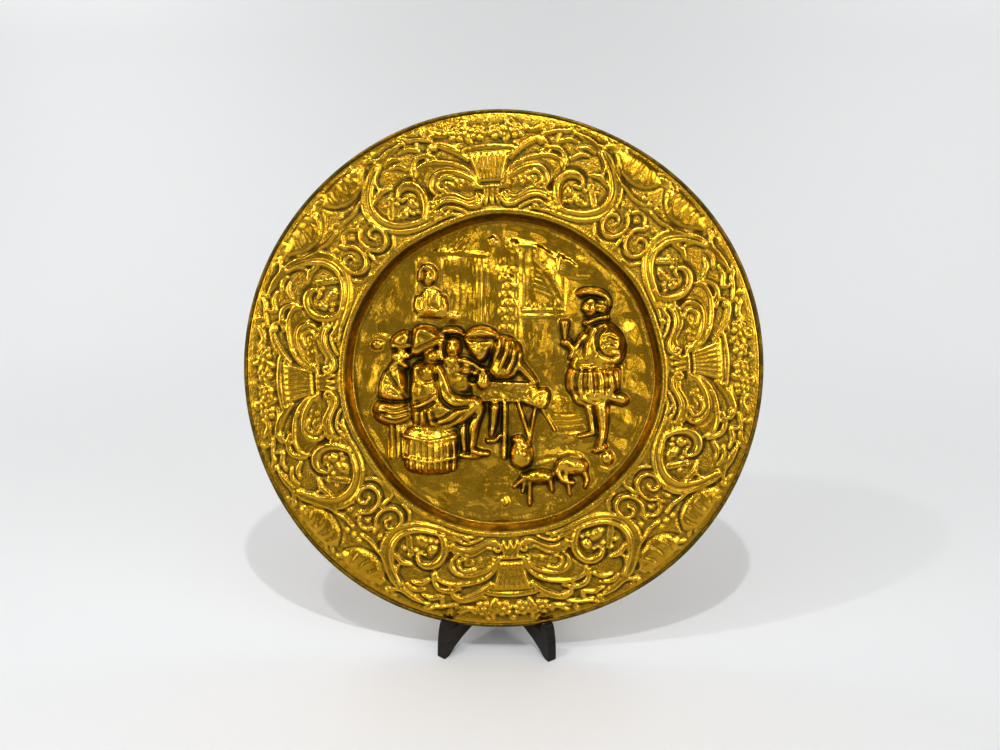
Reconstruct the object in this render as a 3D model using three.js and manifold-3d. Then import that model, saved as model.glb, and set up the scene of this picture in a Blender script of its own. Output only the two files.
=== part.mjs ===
// A round embossed plate of yellow metal, leaning on a small easel of two crossed wooden boards.
// Millimetres, +Z up, the plate faces -Y. The origin is on the ground, under the middle of the whole.
import * as THREE from 'three';
import { mergeVertices } from 'three/addons/utils/BufferGeometryUtils.js';
import Module from 'manifold-3d';

const wasm = await Module();
wasm.setup();

// Plate
const plateRadius = 250;
const rimRollRadius = 1.9;
const rimRollSetBack = 0.5;
const rimWave = 1;
const plainBandWidth = 4;
const wellMouthRadius = 153;
const wellFloorRadius = 144;
const wellDepth = 18;
const sheetBacking = 1.7;
const sceneReliefHeight = 6;
const borderReliefHeight = 4.6;
const urnTurn = 3.7;

// Stand
const leanAngle = 14;
const toeSpacing = 106;
const toeSetForward = 14;
const boardAngle = 35;
const boardThickness = 9;
const boardLength = 172;
const notchHeight = 26;
const hookHeight = 37;
const hookThickness = 10;
const archHeight = 19;
const toeLength = 6;
const heelLength = 15;
const heelHeight = 15;
const topWidth = 16;
const roomUnderWell = 3;
const fitGap = 0.3;

// How finely the round edges are faceted
const rimSteps = 72;
const rollSteps = 3;
const backSteps = 48;
const roundSides = 6;

const degree = Math.PI / 180;
const quarterTurn = Math.PI / 2;
const fullTurn = 2 * Math.PI;

// Raised work. A piece is a loft through rings of points [x, y, h] in drawing units: x to the right,
// y up, and h the share of the relief's height. Its lowest ring lies inside the sheet.
const sunk = -1;

function loft(rings, cap) {
  const sides = rings[0].length;
  const faces = [];
  rings.slice(1).forEach((_, level) => {
    for (let side = 0; side < sides; side += 1) {
      const next = (side + 1) % sides;
      const low = level * sides;
      const high = low + sides;
      faces.push([low + side, low + next, high + next], [low + side, high + next, high + side]);
    }
  });
  const lastRing = (rings.length - 1) * sides;
  cap.forEach(([a, b, c]) => faces.push([c, b, a], [a + lastRing, b + lastRing, c + lastRing]));
  return { points: rings.flat(), faces };
}

const fan = (sides) => Array.from({ length: sides - 2 }, (_, side) => [0, side + 1, side + 2]);

// The steps in which a rounded back rises: the share of the half width left, and of the height won.
const roundBack = [[1, sunk], [0.68, 0.72], [0, 1]];
const sharpBack = [[1, sunk], [0, 1]];

// An ellipse-shaped dome, its long axis turned by an angle in degrees.
function dome(centreX, centreY, radiusX, radiusY, turn, top, back = roundBack) {
  const cos = Math.cos(turn * degree);
  const sin = Math.sin(turn * degree);
  const rings = back.map(([width, rise]) => Array.from({ length: roundSides }, (_, side) => {
    const angle = fullTurn * (side + 0.5) / roundSides;
    const along = radiusX * width * Math.cos(angle);
    const across = radiusY * width * Math.sin(angle);
    return [centreX + along * cos - across * sin, centreY + along * sin + across * cos,
      rise === sunk ? sunk : top * rise];
  }));
  return loft(rings, fan(roundSides));
}

// A round-backed taper between two points, as wide as the radius at each end.
function limb(startX, startY, startRadius, endX, endY, endRadius, top, back = roundBack) {
  const heading = Math.atan2(endY - startY, endX - startX);
  const half = roundSides / 2;
  const rings = back.map(([width, rise]) => Array.from({ length: roundSides }, (_, side) => {
    const atEnd = side < half;
    const spread = (side % half) / (half - 1) - 0.5;
    const angle = heading + (atEnd ? 0 : Math.PI) + spread * Math.PI;
    const reach = width * (atEnd ? endRadius : startRadius);
    return [(atEnd ? endX : startX) + reach * Math.cos(angle), (atEnd ? endY : startY) + reach * Math.sin(angle),
      rise === sunk ? sunk : top * rise];
  }));
  return loft(rings, fan(roundSides));
}

// A ridged band that follows a smooth curve through its points, from one half width to the other.
function band(points, startRadius, endRadius, top, stepsEach = 2) {
  const curve = new THREE.CatmullRomCurve3(points.map(([x, y]) => new THREE.Vector3(x, y, 0)));
  const steps = stepsEach * (points.length - 1);
  const rings = Array.from({ length: steps + 1 }, (_, step) => {
    const spot = curve.getPoint(step / steps);
    const heading = curve.getTangent(step / steps);
    const radius = startRadius + (endRadius - startRadius) * step / steps;
    return [
      [spot.x - heading.y * radius, spot.y + heading.x * radius, sunk],
      [spot.x, spot.y, top],
      [spot.x + heading.y * radius, spot.y - heading.x * radius, sunk],
    ];
  });
  return loft(rings, [[0, 1, 2]]);
}

// A band that winds round a centre from its first reach to its last, angles in degrees.
function coil(centreX, centreY, startReach, endReach, startAngle, endAngle, startRadius, endRadius, top) {
  const turns = Math.ceil(Math.abs(endAngle - startAngle) / 55);
  const points = Array.from({ length: turns + 1 }, (_, step) => {
    const reach = startReach + (endReach - startReach) * step / turns;
    const angle = (startAngle + (endAngle - startAngle) * step / turns) * degree;
    return [centreX + reach * Math.cos(angle), centreY + reach * Math.sin(angle)];
  });
  return band(points, startRadius, endRadius, top, 1);
}

// A flat-topped field inside an outline that runs counter-clockwise, its edge sloped over a width.
function field(outline, top, edge) {
  const count = outline.length;
  const inset = outline.map(([x, y], step) => {
    const [px, py] = outline[(step + count - 1) % count];
    const [nx, ny] = outline[(step + 1) % count];
    const before = new THREE.Vector2(x - px, y - py).normalize();
    const after = new THREE.Vector2(nx - x, ny - y).normalize();
    const inward = new THREE.Vector2(-before.y - after.y, before.x + after.x);
    const reach = 2 * edge / Math.max(1.2, inward.lengthSq());
    return [x + inward.x * reach, y + inward.y * reach, top];
  });
  const cap = THREE.ShapeUtils.triangulateShape(outline.map(([x, y]) => new THREE.Vector2(x, y)), []);
  return loft([outline.map(([x, y]) => [x, y, sunk]), inset], cap);
}

// A straight sharp-backed bar.
const bar = (ax, ay, bx, by, radius, top) => limb(ax, ay, radius, bx, by, radius, top, sharpBack);

// The scene on the floor of the well, drawn on a disc 144 units in radius, x to the right, y up.

// The standing drinker on the right: beret, cloak, pleated coat, breeches, and a raised glass.
function standingDrinker() {
  const pleats = [71, 79, 87, 95, 103].map((x) => limb(x, 5, 3, x + (x - 87) * 0.2, -19, 5, 0.86, sharpBack));
  return [
    field([[79, 47], [70, 20], [66, -12], [112, -14], [119, 4], [120, 24], [115, 41], [104, 51]], 0.5, 5),
    limb(92, 38, 13, 87, 13, 15, 0.85),
    limb(101, 40, 8, 111, 22, 8, 0.98),
    limb(111, 22, 8, 103, 6, 6, 0.95),
    limb(84, 39, 8, 69, 30, 6, 0.98),
    dome(62, 26, 6.5, 5.5, 0, 0.95, sharpBack),
    limb(62, 34, 2.6, 60, 47, 5, 0.75, sharpBack),
    limb(80, 49, 5, 97, 50, 6, 0.85),
    dome(87, 61, 8, 10, 0, 0.95),
    limb(77, 73, 5, 98, 74, 7, 1),
    ...pleats,
    limb(80, -26, 8, 80, -33, 7, 0.7, sharpBack),
    limb(97, -26, 9, 98, -34, 7, 0.85, sharpBack),
    limb(83, -36, 5, 88, -55, 4, 0.45, sharpBack),
    limb(97, -36, 6.5, 98, -66, 4.5, 0.85),
    limb(98, -70, 5, 106, -77, 4.5, 0.75),
    limb(114, -6, 3, 122, -31, 3, 0.55, sharpBack),
  ];
}

// The drinker on the barrel, seen from behind: a tall hat, a broad back, and legs out to the right.
function barrelDrinker() {
  return [
    field([[-94, -28], [-88, -52], [-50, -53], [-44, -30], [-46, -12], [-58, 5], [-72, 9], [-87, 4]], 0.6, 5),
    limb(-72, -8, 14, -68, -36, 18, 0.92),
    dome(-77, 27, 9, 17, 12, 0.95),
    limb(-86, 13, 4, -60, 24, 4, 0.85),
    band([[-60, 0], [-50, -17], [-42, -29], [-22, -31]], 7, 6, 1.05),
    dome(-19, -32, 7, 7, 0, 1),
    limb(-58, -47, 10, -24, -38, 7, 0.9),
    limb(-22, -42, 5.5, -24, -73, 4.5, 0.8),
    limb(-33, -50, 6, -32, -77, 5, 0.8),
    limb(-24, -78, 4.5, -12, -81, 4, 0.75),
    limb(-34, -83, 5, -25, -85, 4, 0.75),
  ];
}

// The barrel itself: a bulged body with three raised hoops.
function barrel() {
  const hoop = (y, width) => band([[-67 - width, y + 3], [-67, y - 3], [-67 + width, y + 3]], 2.6, 2.6, 0.98);
  return [
    field([[-92, -60], [-95, -80], [-92, -99], [-67, -104], [-42, -99], [-39, -80], [-42, -60], [-67, -52]],
      0.8, 6),
    hoop(-67, 25),
    hoop(-86, 27),
    hoop(-99, 24),
  ];
}

// The seated drinker at the far left, on a stool.
function leftDrinker() {
  return [
    field([[-120, -16], [-116, -34], [-92, -34], [-88, -18], [-92, 4], [-106, 10], [-117, 2]], 0.55, 5),
    limb(-108, 0, 8, -102, -20, 8, 0.85),
    dome(-95, 15, 6.5, 8, 0, 0.8),
    limb(-104, 24, 5, -89, 25, 5, 0.85),
    dome(-96, 31, 7, 5, 0, 0.85),
    dome(-104, -40, 18, 12, 0, 0.85),
    bar(-105, -52, -105, -84, 3, 0.55),
    bar(-96, -52, -92, -84, 3, 0.55),
    bar(-114, -50, -119, -72, 2.6, 0.45),
  ];
}

// The two drinkers behind the table: one faces out, one bends over his jug.
function tableDrinkers() {
  return [
    field([[-60, 6], [-56, -12], [-32, -14], [-30, -2], [-38, 12], [-50, 15]], 0.45, 4),
    dome(-46, 22, 7.5, 10, 0, 0.75),
    limb(-55, 36, 5, -40, 37, 6, 0.8),
    field([[-12, 0], [-6, -13], [34, -13], [23, 0], [20, 14], [13, 28], [2, 31], [-8, 22]], 0.55, 5),
    limb(7, 19, 13, 6, 4, 11, 0.92),
    limb(0, 0, 6.5, -9, -5, 5, 0.9),
    dome(-19, 19, 8, 9, 0, 0.8),
    limb(-31, 31, 4.5, -4, 34, 5, 0.9),
    dome(-17, 38, 9, 6, 0, 0.9),
    dome(-33, 0, 7, 5, 0, 0.7),
    dome(-17, -13, 8.5, 8, 0, 0.9),
    limb(-17, -5, 3.6, -17, 3, 4.5, 0.75, sharpBack),
  ];
}

// The table, its bench end, the floor jug and the near leg of the man behind.
function tableAndJug() {
  return [
    field([[-27, -31], [19, -31], [34, -12], [-8, -12]], 0.5, 3),
    bar(-26, -29, 18, -29, 2.8, 0.72),
    bar(33, -13, 19, -29, 2.8, 0.68),
    bar(4.5, -32, 4, -82, 3.2, 0.62),
    bar(17, -34, 29, -66, 3, 0.55),
    bar(36, -38, 26, -66, 3, 0.55),
    field([[22, -31], [41, -39], [48, -30], [47, -18], [36, -17]], 0.6, 3),
    bar(43, -40, 54, -59, 3, 0.5),
    limb(-5, -36, 6.5, -7, -60, 4.5, 0.75),
    limb(-14, -69, 4.5, -4, -68, 4.5, 0.7),
    dome(21, -82, 12, 13, 0, 0.9),
    limb(18, -68, 4, 17, -61, 5.5, 0.75, sharpBack),
  ];
}

// Two dogs asleep in front, and the mound at the standing man's foot.
function dogs() {
  return [
    limb(28, -103, 8, 45, -102, 8.5, 0.75),
    dome(20, -108, 6.5, 5, 30, 0.75),
    bar(28, -108, 31, -123, 3, 0.5),
    bar(46, -108, 51, -119, 3, 0.5),
    limb(60, -91, 8, 79, -90, 9, 0.8),
    dome(55, -98, 6.5, 5, 30, 0.75),
    bar(66, -98, 64, -112, 3, 0.5),
    dome(107, -86, 9, 5, 0, 0.5, sharpBack),
  ];
}

// The room behind: the woman with a dish, the door, the brick pier, the window and the roof beams.
function room() {
  const boards = [-54, -45, -36, -27].map((x) => bar(x, 51, x, 106, 3, 0.3));
  const bricks = [40, 54, 68, 82, 96].map((y) => bar(1, y, 8, y, 5, 0.32));
  const hatches = [[66, 60], [58, 76], [48, 92]].map(([x, y]) => bar(22, y + 7, x, y - 2, 2.6, 0.26));
  const planks = [42, 28, 14].map((y) => bar(24, y, 60, y - 3, 3, 0.28));
  return [
    limb(-68, 76, 12, -66, 56, 14, 0.45),
    dome(-72, 90, 8, 9, 0, 0.55),
    dome(-72, 59, 7, 6, 0, 0.6),
    ...boards,
    bar(-60, 111, -20, 111, 3.4, 0.38),
    bar(-18, 50, -18, 108, 3, 0.38),
    bar(-83, 50, -83, 98, 3, 0.32),
    ...bricks,
    bar(17, -4, 17, 112, 4, 0.44),
    dome(13, 121, 7, 6, 0, 0.5, sharpBack),
    bar(24, 53, 60, 53, 3.4, 0.42),
    ...hatches,
    ...planks,
    bar(14, 129, 45, 114, 3, 0.42),
    bar(45, 114, 78, 95, 3, 0.42),
    limb(56, 100, 6, 72, 108, 5, 0.5, sharpBack),
    bar(50, -44, 90, -46, 2.6, 0.24),
  ];
}

const scenePieces = () => [room, tableDrinkers, tableAndJug, leftDrinker, barrel, barrelDrinker,
  standingDrinker, dogs].flatMap((draw) => draw());

// The border, drawn once and mirrored round the plate. Across, w runs from an urn's middle, 0, to
// halfway to the next urn, 159.4. Outwards, v runs from the well's mouth, 153, to the plain band, 243.

// Half a fluted urn on its foot, with half of the row of blossoms over it.
function halfUrn() {
  const flutes = [3, 11].map((w) => limb(w * 0.66, 183, 2.4, w * 1.1, 206, 3.6, 0.95, sharpBack));
  return [
    field([[0, 180], [12, 180], [19, 212], [0, 212]].map(([w, v]) => [w - (w === 0 ? 3 : 0), v]), 0.62, 2),
    ...flutes,
    bar(0, 215, 21, 215, 3.4, 0.95),
    bar(0, 177, 14, 177, 3.2, 0.85),
    limb(0, 172, 7, 0, 162, 3, 0.65, sharpBack),
    dome(9, 229, 8.5, 8.5, 0, 0.72, sharpBack),
    dome(27, 229, 8.5, 8.5, 0, 0.72, sharpBack),
    limb(38, 231, 4.5, 50, 236, 2.5, 0.5, sharpBack),
  ];
}

// The bracket, plume and long leaf that fill the space beside the urn.
function urnSide() {
  return [
    band([[20, 171], [24, 163], [35, 164], [46, 174], [65, 176]], 4.2, 3.6, 0.8, 1),
    band([[13, 187], [23, 202], [34, 216], [48, 227]], 4.4, 3.4, 0.78, 1),
    band([[37, 208], [52, 212], [68, 207]], 3.8, 3, 0.62, 1),
    band([[25, 187], [38, 197], [54, 200], [66, 192], [62, 182], [52, 184]], 4.4, 3.2, 0.8, 1),
  ];
}

// The great scroll between the urns, its inner coil and the leaf in its eye.
function greatScroll() {
  return [
    band([[78, 237], [99, 233], [119, 221], [132, 204], [134, 185], [121, 167], [102, 160],
      [80, 161], [61, 163]], 5, 3.6, 0.92, 1),
    coil(93, 187, 21, 18, 80, 300, 4.6, 4, 0.86),
    dome(92, 188, 9, 9, 0, 0.7, sharpBack),
    bar(104, 197, 117, 182, 3, 0.55),
    band([[101, 223], [112, 217], [116, 207], [108, 200]], 3.8, 3, 0.75, 1),
  ];
}

// The volute, leaves and blossom where two scrolls meet.
function meeting() {
  return [
    band([[152, 200], [154, 187], [156, 174], [149, 165], [139, 164]], 4, 3.4, 0.8, 1),
    dome(146, 180, 5, 6, 0, 0.7, sharpBack),
    band([[128, 222], [140, 213], [154, 208]], 4, 2.6, 0.55, 1),
    dome(149, 230, 8.5, 8, 20, 0.65, sharpBack),
    dome(128, 235, 8, 5, -20, 0.5, sharpBack),
  ];
}

const borderPieces = () => [halfUrn, urnSide, greatScroll, meeting].flatMap((draw) => draw());

// A piece as a closed solid, each of its points put in place by a function of x, y and height.
function solidOf(points, faces) {
  const geometry = new THREE.BufferGeometry();
  geometry.setAttribute('position', new THREE.Float32BufferAttribute(
    points.flatMap((point) => [point.x, point.y, point.z]), 3));
  geometry.setIndex(faces.flat());
  return asSolid(geometry);
}

// A closed geometry as a solid that can be cut or joined, and a solid as a geometry again.
function asSolid(geometry) {
  const bare = geometry.clone();
  bare.deleteAttribute('normal');
  bare.deleteAttribute('uv');
  const merged = mergeVertices(bare, 1e-4);
  const corners = merged.index.array;
  const whole = [];
  for (let face = 0; face < corners.length; face += 3) {
    const [a, b, c] = corners.slice(face, face + 3);
    if (a !== b && b !== c && c !== a) whole.push(a, b, c);
  }
  return new wasm.Manifold(new wasm.Mesh({
    numProp: 3,
    vertProperties: merged.attributes.position.array,
    triVerts: new Uint32Array(whole),
  }));
}

function asGeometry(solid) {
  const mesh = solid.getMesh();
  const geometry = new THREE.BufferGeometry();
  geometry.setAttribute('position', new THREE.Float32BufferAttribute(mesh.vertProperties, 3));
  geometry.setIndex(Array.from(mesh.triVerts));
  geometry.computeVertexNormals();
  return geometry;
}

// The plate lies in its own frame: x to the right, z up its face, and y into its back.
const sceneUnit = wellFloorRadius / 144;
const borderHalfWidth = 159.4;
const borderStart = 153;
const borderDepth = 90;
const bandRadius = plateRadius - 2 * rimRollRadius - plainBandWidth;
const sinkDepth = sheetBacking / 2;

const depthOf = (ground, share, relief) => (share === sunk ? ground + sinkDepth : ground - share * relief);

const onScene = ([x, y, share]) => new THREE.Vector3(
  x * sceneUnit, depthOf(wellDepth, share, sceneReliefHeight), y * sceneUnit);

// A border point beside urn 0 to 3. hand is 1 to the urn's right and -1 to its left.
function onBorder([w, v, share], urn, hand) {
  const angle = (90 + urnTurn) * degree + urn * quarterTurn - hand * w / borderHalfWidth * quarterTurn / 2;
  const radius = wellMouthRadius + (v - borderStart) / borderDepth * (bandRadius - wellMouthRadius);
  return new THREE.Vector3(
    radius * Math.cos(angle), depthOf(0, share, borderReliefHeight), radius * Math.sin(angle));
}

const turnedOver = (faces) => faces.map(([a, b, c]) => [a, c, b]);

function reliefSolids() {
  const scene = scenePieces().map(({ points, faces }) => solidOf(points.map(onScene), faces));
  const border = [0, 1, 2, 3].flatMap((urn) => [1, -1].flatMap((hand) => borderPieces()
    .map(({ points, faces }) => solidOf(
      points.map((point) => onBorder(point, urn, hand)), hand > 0 ? faces : turnedOver(faces)))));
  return [...scene, ...border];
}

// The edge of the plate is a hand-worked circle, out of true by a few slow waves.
const rimRadiusAt = (angle) => plateRadius - 0.8 * rimWave
  + rimWave * (0.5 * Math.cos(2 * angle - 0.3) + 0.6 * Math.cos(3 * angle) + 0.6 * Math.cos(5 * angle - 2.3));

// The sheet without its raised work: rings of points from the middle of the front, over the rolled
// edge, to the middle of the back, each joined to the next.
function sheetSolid() {
  const points = [];
  const faces = [];
  const addRing = (steps, radiusAt, depth) => {
    const ring = Array.from({ length: steps }, (_, step) => points.length + step);
    ring.forEach((_, step) => {
      const angle = fullTurn * step / steps;
      const radius = radiusAt(angle);
      points.push(new THREE.Vector3(radius * Math.cos(angle), depth, radius * Math.sin(angle)));
    });
    return ring;
  };
  const zip = (first, second) => {
    const secondSteps = second.length > 1 ? second.length : 0;
    const firstSteps = first.length > 1 ? first.length : 0;
    let i = 0;
    let j = 0;
    while (i < firstSteps || j < secondSteps) {
      const here = first[i % first.length];
      const there = second[j % second.length];
      const moveFirst = j >= secondSteps
        || (i < firstSteps && (i + 1) / first.length < (j + 1) / second.length);
      if (moveFirst) i += 1;
      else j += 1;
      faces.push([here, there, moveFirst ? first[i % first.length] : second[j % second.length]]);
    }
  };
  const wallBacking = sheetBacking * 1.1;
  const rings = [
    addRing(1, () => 0, wellDepth),
    addRing(rimSteps, () => wellFloorRadius, wellDepth),
    addRing(rimSteps, () => wellMouthRadius, 0),
    addRing(rimSteps, () => bandRadius + plainBandWidth / 2, 0),
  ];
  for (let step = 0; step <= rollSteps; step += 1) {
    const around = (190 + 280 * step / rollSteps) * degree;
    const reach = rimRollRadius * (Math.cos(around) - 1);
    rings.push(addRing(rimSteps, (angle) => rimRadiusAt(angle) + reach,
      rimRollSetBack + rimRollRadius * Math.sin(around)));
  }
  rings.push(
    addRing(backSteps, () => bandRadius, sheetBacking),
    addRing(backSteps, () => wellMouthRadius + wallBacking, sheetBacking),
    addRing(backSteps, () => wellFloorRadius + wallBacking, wellDepth + sheetBacking),
    addRing(1, () => 0, wellDepth + sheetBacking),
  );
  rings.slice(1).forEach((ring, step) => zip(rings[step], ring));
  return solidOf(points, faces);
}

const plateGeometry = () => asGeometry(wasm.Manifold.union([sheetSolid(), ...reliefSolids()]));

// Where the plate rests. Its lowest point is at y = 0 before the whole is centred.
const lean = leanAngle * degree;
const turn = boardAngle * degree;
const halfBoard = boardThickness / 2;
const beadFront = rimRollRadius - rimRollSetBack;
const beadBack = rimRollRadius + rimRollSetBack;

// The rim crosses each board about this far from the middle; the inner face is where it sits lowest.
const crossingX = toeSpacing / 2 - (toeSetForward + beadBack) * Math.tan(turn);
const innerX = crossingX - halfBoard / Math.cos(turn);
const restAngle = Math.acos(innerX / plateRadius);
const restRadius = Math.max(rimRadiusAt(-restAngle), rimRadiusAt(restAngle - Math.PI));
const rimDrop = Math.sqrt(restRadius ** 2 - innerX ** 2);
const plateCentreY = restRadius * Math.sin(lean);
const plateCentreZ = notchHeight + fitGap + rimDrop * Math.cos(lean) + beadBack * Math.sin(lean);

// A board's profile in its own plane: s runs back from the toe, z up.
const alongBoard = (y) => (y + toeSetForward) / Math.cos(turn);
const slant = halfBoard * Math.sin(turn);
const rimY = plateCentreY - rimDrop * Math.sin(lean);
const hookInner = alongBoard(rimY - beadFront - fitGap - slant);
const restAt = (z) => alongBoard(plateCentreY + beadBack / Math.cos(lean)
  + (z - plateCentreZ) * Math.tan(lean) + fitGap + slant);
const boardHeight = plateCentreZ - (wellMouthRadius + 2 * sheetBacking + roomUnderWell) * Math.cos(lean);

function boardShape() {
  const shape = new THREE.Shape();
  const tip = hookThickness / 2;
  shape.moveTo(0, 0);
  shape.quadraticCurveTo(0, hookHeight * 0.6, hookInner - 2 * tip * 0.8, hookHeight - tip * 0.6);
  shape.quadraticCurveTo(hookInner - tip * 0.9, hookHeight + tip * 0.5, hookInner, hookHeight - tip);
  shape.lineTo(hookInner, notchHeight);
  shape.lineTo(restAt(notchHeight), notchHeight);
  shape.lineTo(restAt(boardHeight), boardHeight);
  shape.lineTo(restAt(boardHeight) + topWidth, boardHeight);
  shape.quadraticCurveTo(boardLength * 0.72, boardHeight * 0.42, boardLength, heelHeight);
  shape.lineTo(boardLength, 0);
  shape.lineTo(boardLength - heelLength, 0);
  shape.quadraticCurveTo(boardLength * 0.78, archHeight, boardLength / 2, archHeight);
  shape.quadraticCurveTo(boardLength * 0.18, archHeight, toeLength, 0);
  shape.closePath();
  return shape;
}

// Places a geometry that is drawn along x and up y into the plane of one board. side is -1 for the
// left board and 1 for the right one.
function intoBoardPlane(geometry, side) {
  const along = new THREE.Vector3(-side * Math.sin(turn), Math.cos(turn), 0);
  const up = new THREE.Vector3(0, 0, 1);
  const matrix = new THREE.Matrix4().makeBasis(along, up, along.clone().cross(up));
  matrix.setPosition(side * toeSpacing / 2, -toeSetForward, 0);
  return geometry.applyMatrix4(matrix);
}

// One board, with the slot that takes the other: open to the top on the left one, below on the right.
function boardGeometry(side) {
  const board = new THREE.ExtrudeGeometry(boardShape(), {
    depth: boardThickness, bevelEnabled: false, curveSegments: 6,
  });
  board.translate(0, 0, -halfBoard);
  const crossing = toeSpacing / 2 / Math.sin(turn);
  const slotMiddle = (archHeight + boardHeight * 0.8) / 2;
  const slotHeight = boardHeight;
  const slotCentre = side < 0 ? slotMiddle + slotHeight / 2 : slotMiddle + fitGap - slotHeight / 2;
  const slot = new THREE.BoxGeometry(8 * boardThickness, slotHeight, boardThickness + 2 * fitGap);
  slot.translate(crossing, slotCentre, 0);
  return asGeometry(asSolid(intoBoardPlane(board, side)).subtract(asSolid(intoBoardPlane(slot, -side))));
}

const brass = new THREE.MeshStandardMaterial({ color: 0xb59a55, roughness: 0.38, metalness: 0.95 });
const darkWood = new THREE.MeshStandardMaterial({ color: 0x2e1d16, roughness: 0.55, metalness: 0 });

function named(name, geometry, material) {
  const mesh = new THREE.Mesh(geometry, material);
  mesh.name = name;
  return mesh;
}

const group = new THREE.Group();
const plate = named('plate', plateGeometry(), brass);
plate.position.set(0, plateCentreY, plateCentreZ);
plate.rotation.x = -lean;
group.add(plate);
group.add(named('stand_left_board', boardGeometry(-1), darkWood));
group.add(named('stand_right_board', boardGeometry(1), darkWood));

// Centres the whole on its own ground plan.
const bounds = new THREE.Box3().setFromObject(group, true);
const middle = bounds.getCenter(new THREE.Vector3());
group.children.forEach((mesh) => mesh.position.sub(new THREE.Vector3(middle.x, middle.y, bounds.min.z)));

export default group;
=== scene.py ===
"""A round embossed plate of yellow metal, leaning on a small easel of dark crossed boards."""
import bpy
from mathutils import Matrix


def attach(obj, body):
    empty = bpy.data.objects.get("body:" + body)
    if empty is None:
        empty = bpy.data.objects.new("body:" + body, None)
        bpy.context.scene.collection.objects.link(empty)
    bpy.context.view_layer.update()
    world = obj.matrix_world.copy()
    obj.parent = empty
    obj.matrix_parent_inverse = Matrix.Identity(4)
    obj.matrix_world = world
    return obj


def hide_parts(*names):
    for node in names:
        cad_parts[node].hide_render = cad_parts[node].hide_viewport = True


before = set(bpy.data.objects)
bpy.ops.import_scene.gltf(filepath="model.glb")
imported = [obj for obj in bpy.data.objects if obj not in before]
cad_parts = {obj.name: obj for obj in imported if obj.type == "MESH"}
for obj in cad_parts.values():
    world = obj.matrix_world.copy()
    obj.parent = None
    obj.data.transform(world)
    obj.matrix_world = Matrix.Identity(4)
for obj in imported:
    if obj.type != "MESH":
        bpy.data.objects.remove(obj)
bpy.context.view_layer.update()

from types import SimpleNamespace

import bpy
import numpy as np
from mathutils import Matrix

# The plate's place. It is one round sheet that leans back on the boards; its middle is sunk.
# Sizes are millimetres: x to the right, up along its face, and deep into its back.
plate_radius = 250
mouth_radius = 152.5
floor_radius = 146.6
well_across = 1.8
well_up = -3.6
well_depth = 18
sheet_thickness = 1.7
lean = np.radians(14)
plate_centre = (-0.2, 3.783, 265.909)


def in_frame(x, up, deep):
    """Points of the leaning plate in the frame, in metres: up and deep are turned by the lean."""
    across = plate_centre[0] + x
    back = plate_centre[1] + deep * np.cos(lean) + up * np.sin(lean)
    height = plate_centre[2] - deep * np.sin(lean) + up * np.cos(lean)
    return np.stack(np.broadcast_arrays(across, back, height), -1) / 1000


# Raised work is drawn as strokes on a sheet of heights, whose cells are this wide.
cell = 0.6


def blank_sheet(left, right, low, high):
    """A flat sheet of heights between the limits."""
    x = np.arange(left, right + cell / 2, cell)
    y = np.arange(low, high + cell / 2, cell)
    return SimpleNamespace(x=x, y=y, height=np.zeros((len(y), len(x))))


def window(sheet, points, margin):
    """The slices of the sheet round the points, with a margin, and the places of their cells."""
    low = np.min(points, 0) - margin
    high = np.max(points, 0) + margin
    columns = slice(*np.searchsorted(sheet.x, (low[0], high[0])))
    rows = slice(*np.searchsorted(sheet.y, (low[1], high[1])))
    return (rows, columns), sheet.x[columns][None, :], sheet.y[rows][:, None]


def curve_through(points, spacing=1.5):
    """A Catmull-Rom curve: between two points it follows the cubic whose slope at each point
    is half the step from the point before it to the point after it."""
    points = np.asarray(points, float)
    ends = np.vstack([2 * points[0] - points[1], points, 2 * points[-1] - points[-2]])
    curve = []
    for before, start, end, after in zip(ends[:-3], ends[1:-2], ends[2:-1], ends[3:]):
        steps = max(2, int(np.hypot(*(end - start)) / spacing) + 1)
        t = np.linspace(0, 1, steps, endpoint=False)[:, None]
        square = (2 * before - 5 * start + 4 * end - after) * t**2
        cube = (3 * start - before - 3 * end + after) * t**3
        curve.append((2 * start + (end - before) * t + square + cube) / 2)
    return np.vstack(curve + [points[-1:]])


def near_line(x, y, start, end):
    """For each cell its nearest place on a straight line, as a share of it, and the distance."""
    step = end - start
    along = ((x - start[0]) * step[0] + (y - start[1]) * step[1]) / max(step @ step, 1e-9)
    along = np.clip(along, 0, 1)
    return along, np.hypot(x - start[0] - along * step[0], y - start[1] - along * step[1])


def stroke(sheet, points, start, end, middle=None):
    """For each cell its distance from the curve over the half width there, or 9 far off. The half
    width goes from start to end, and through middle halfway where one is given."""
    path = curve_through(points)
    share = np.linspace(0, 1, len(path))
    belly = 0 if middle is None else middle - (start + end) / 2
    half_widths = start + (end - start) * share + 4 * belly * share * (1 - share)
    reach = np.full(sheet.height.shape, 9.0)
    for start, end, first, last in zip(path[:-1], path[1:], half_widths[:-1], half_widths[1:]):
        cells, x, y = window(sheet, (start, end), 3 * max(first, last))
        along, gap = near_line(x, y, start, end)
        reach[cells] = np.minimum(reach[cells], gap / (first + along * (last - first)))
    return reach


def lift(sheet, share, raised):
    """The cells inside a stroke rise to the raised height where they lie lower."""
    sheet.height = np.where(share < 1, np.maximum(sheet.height, raised), sheet.height)


def ridge(sheet, points, start, end, top, base=0, middle=None):
    """A rounded ridge along a curve: over its width the height goes with one minus the square of
    the share of the half width, to the power 0.7."""
    share = stroke(sheet, points, start, end, middle)
    lift(sheet, share, base + (top - base) * np.clip(1 - share**2, 0, 1) ** 0.7)


def strap(sheet, points, start, end, top, base=0, middle=None):
    """A flat band along a curve with a raised lip near each edge and a shallow dish between."""
    share = stroke(sheet, points, start, end, middle)
    edge = np.clip((1 - share) / 0.22, 0, 1) ** 0.7
    lip = 0.62 + 0.38 * np.exp(-((share - 0.72) / 0.2) ** 2)
    lift(sheet, share, base + (top - base) * edge * lip)


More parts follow.
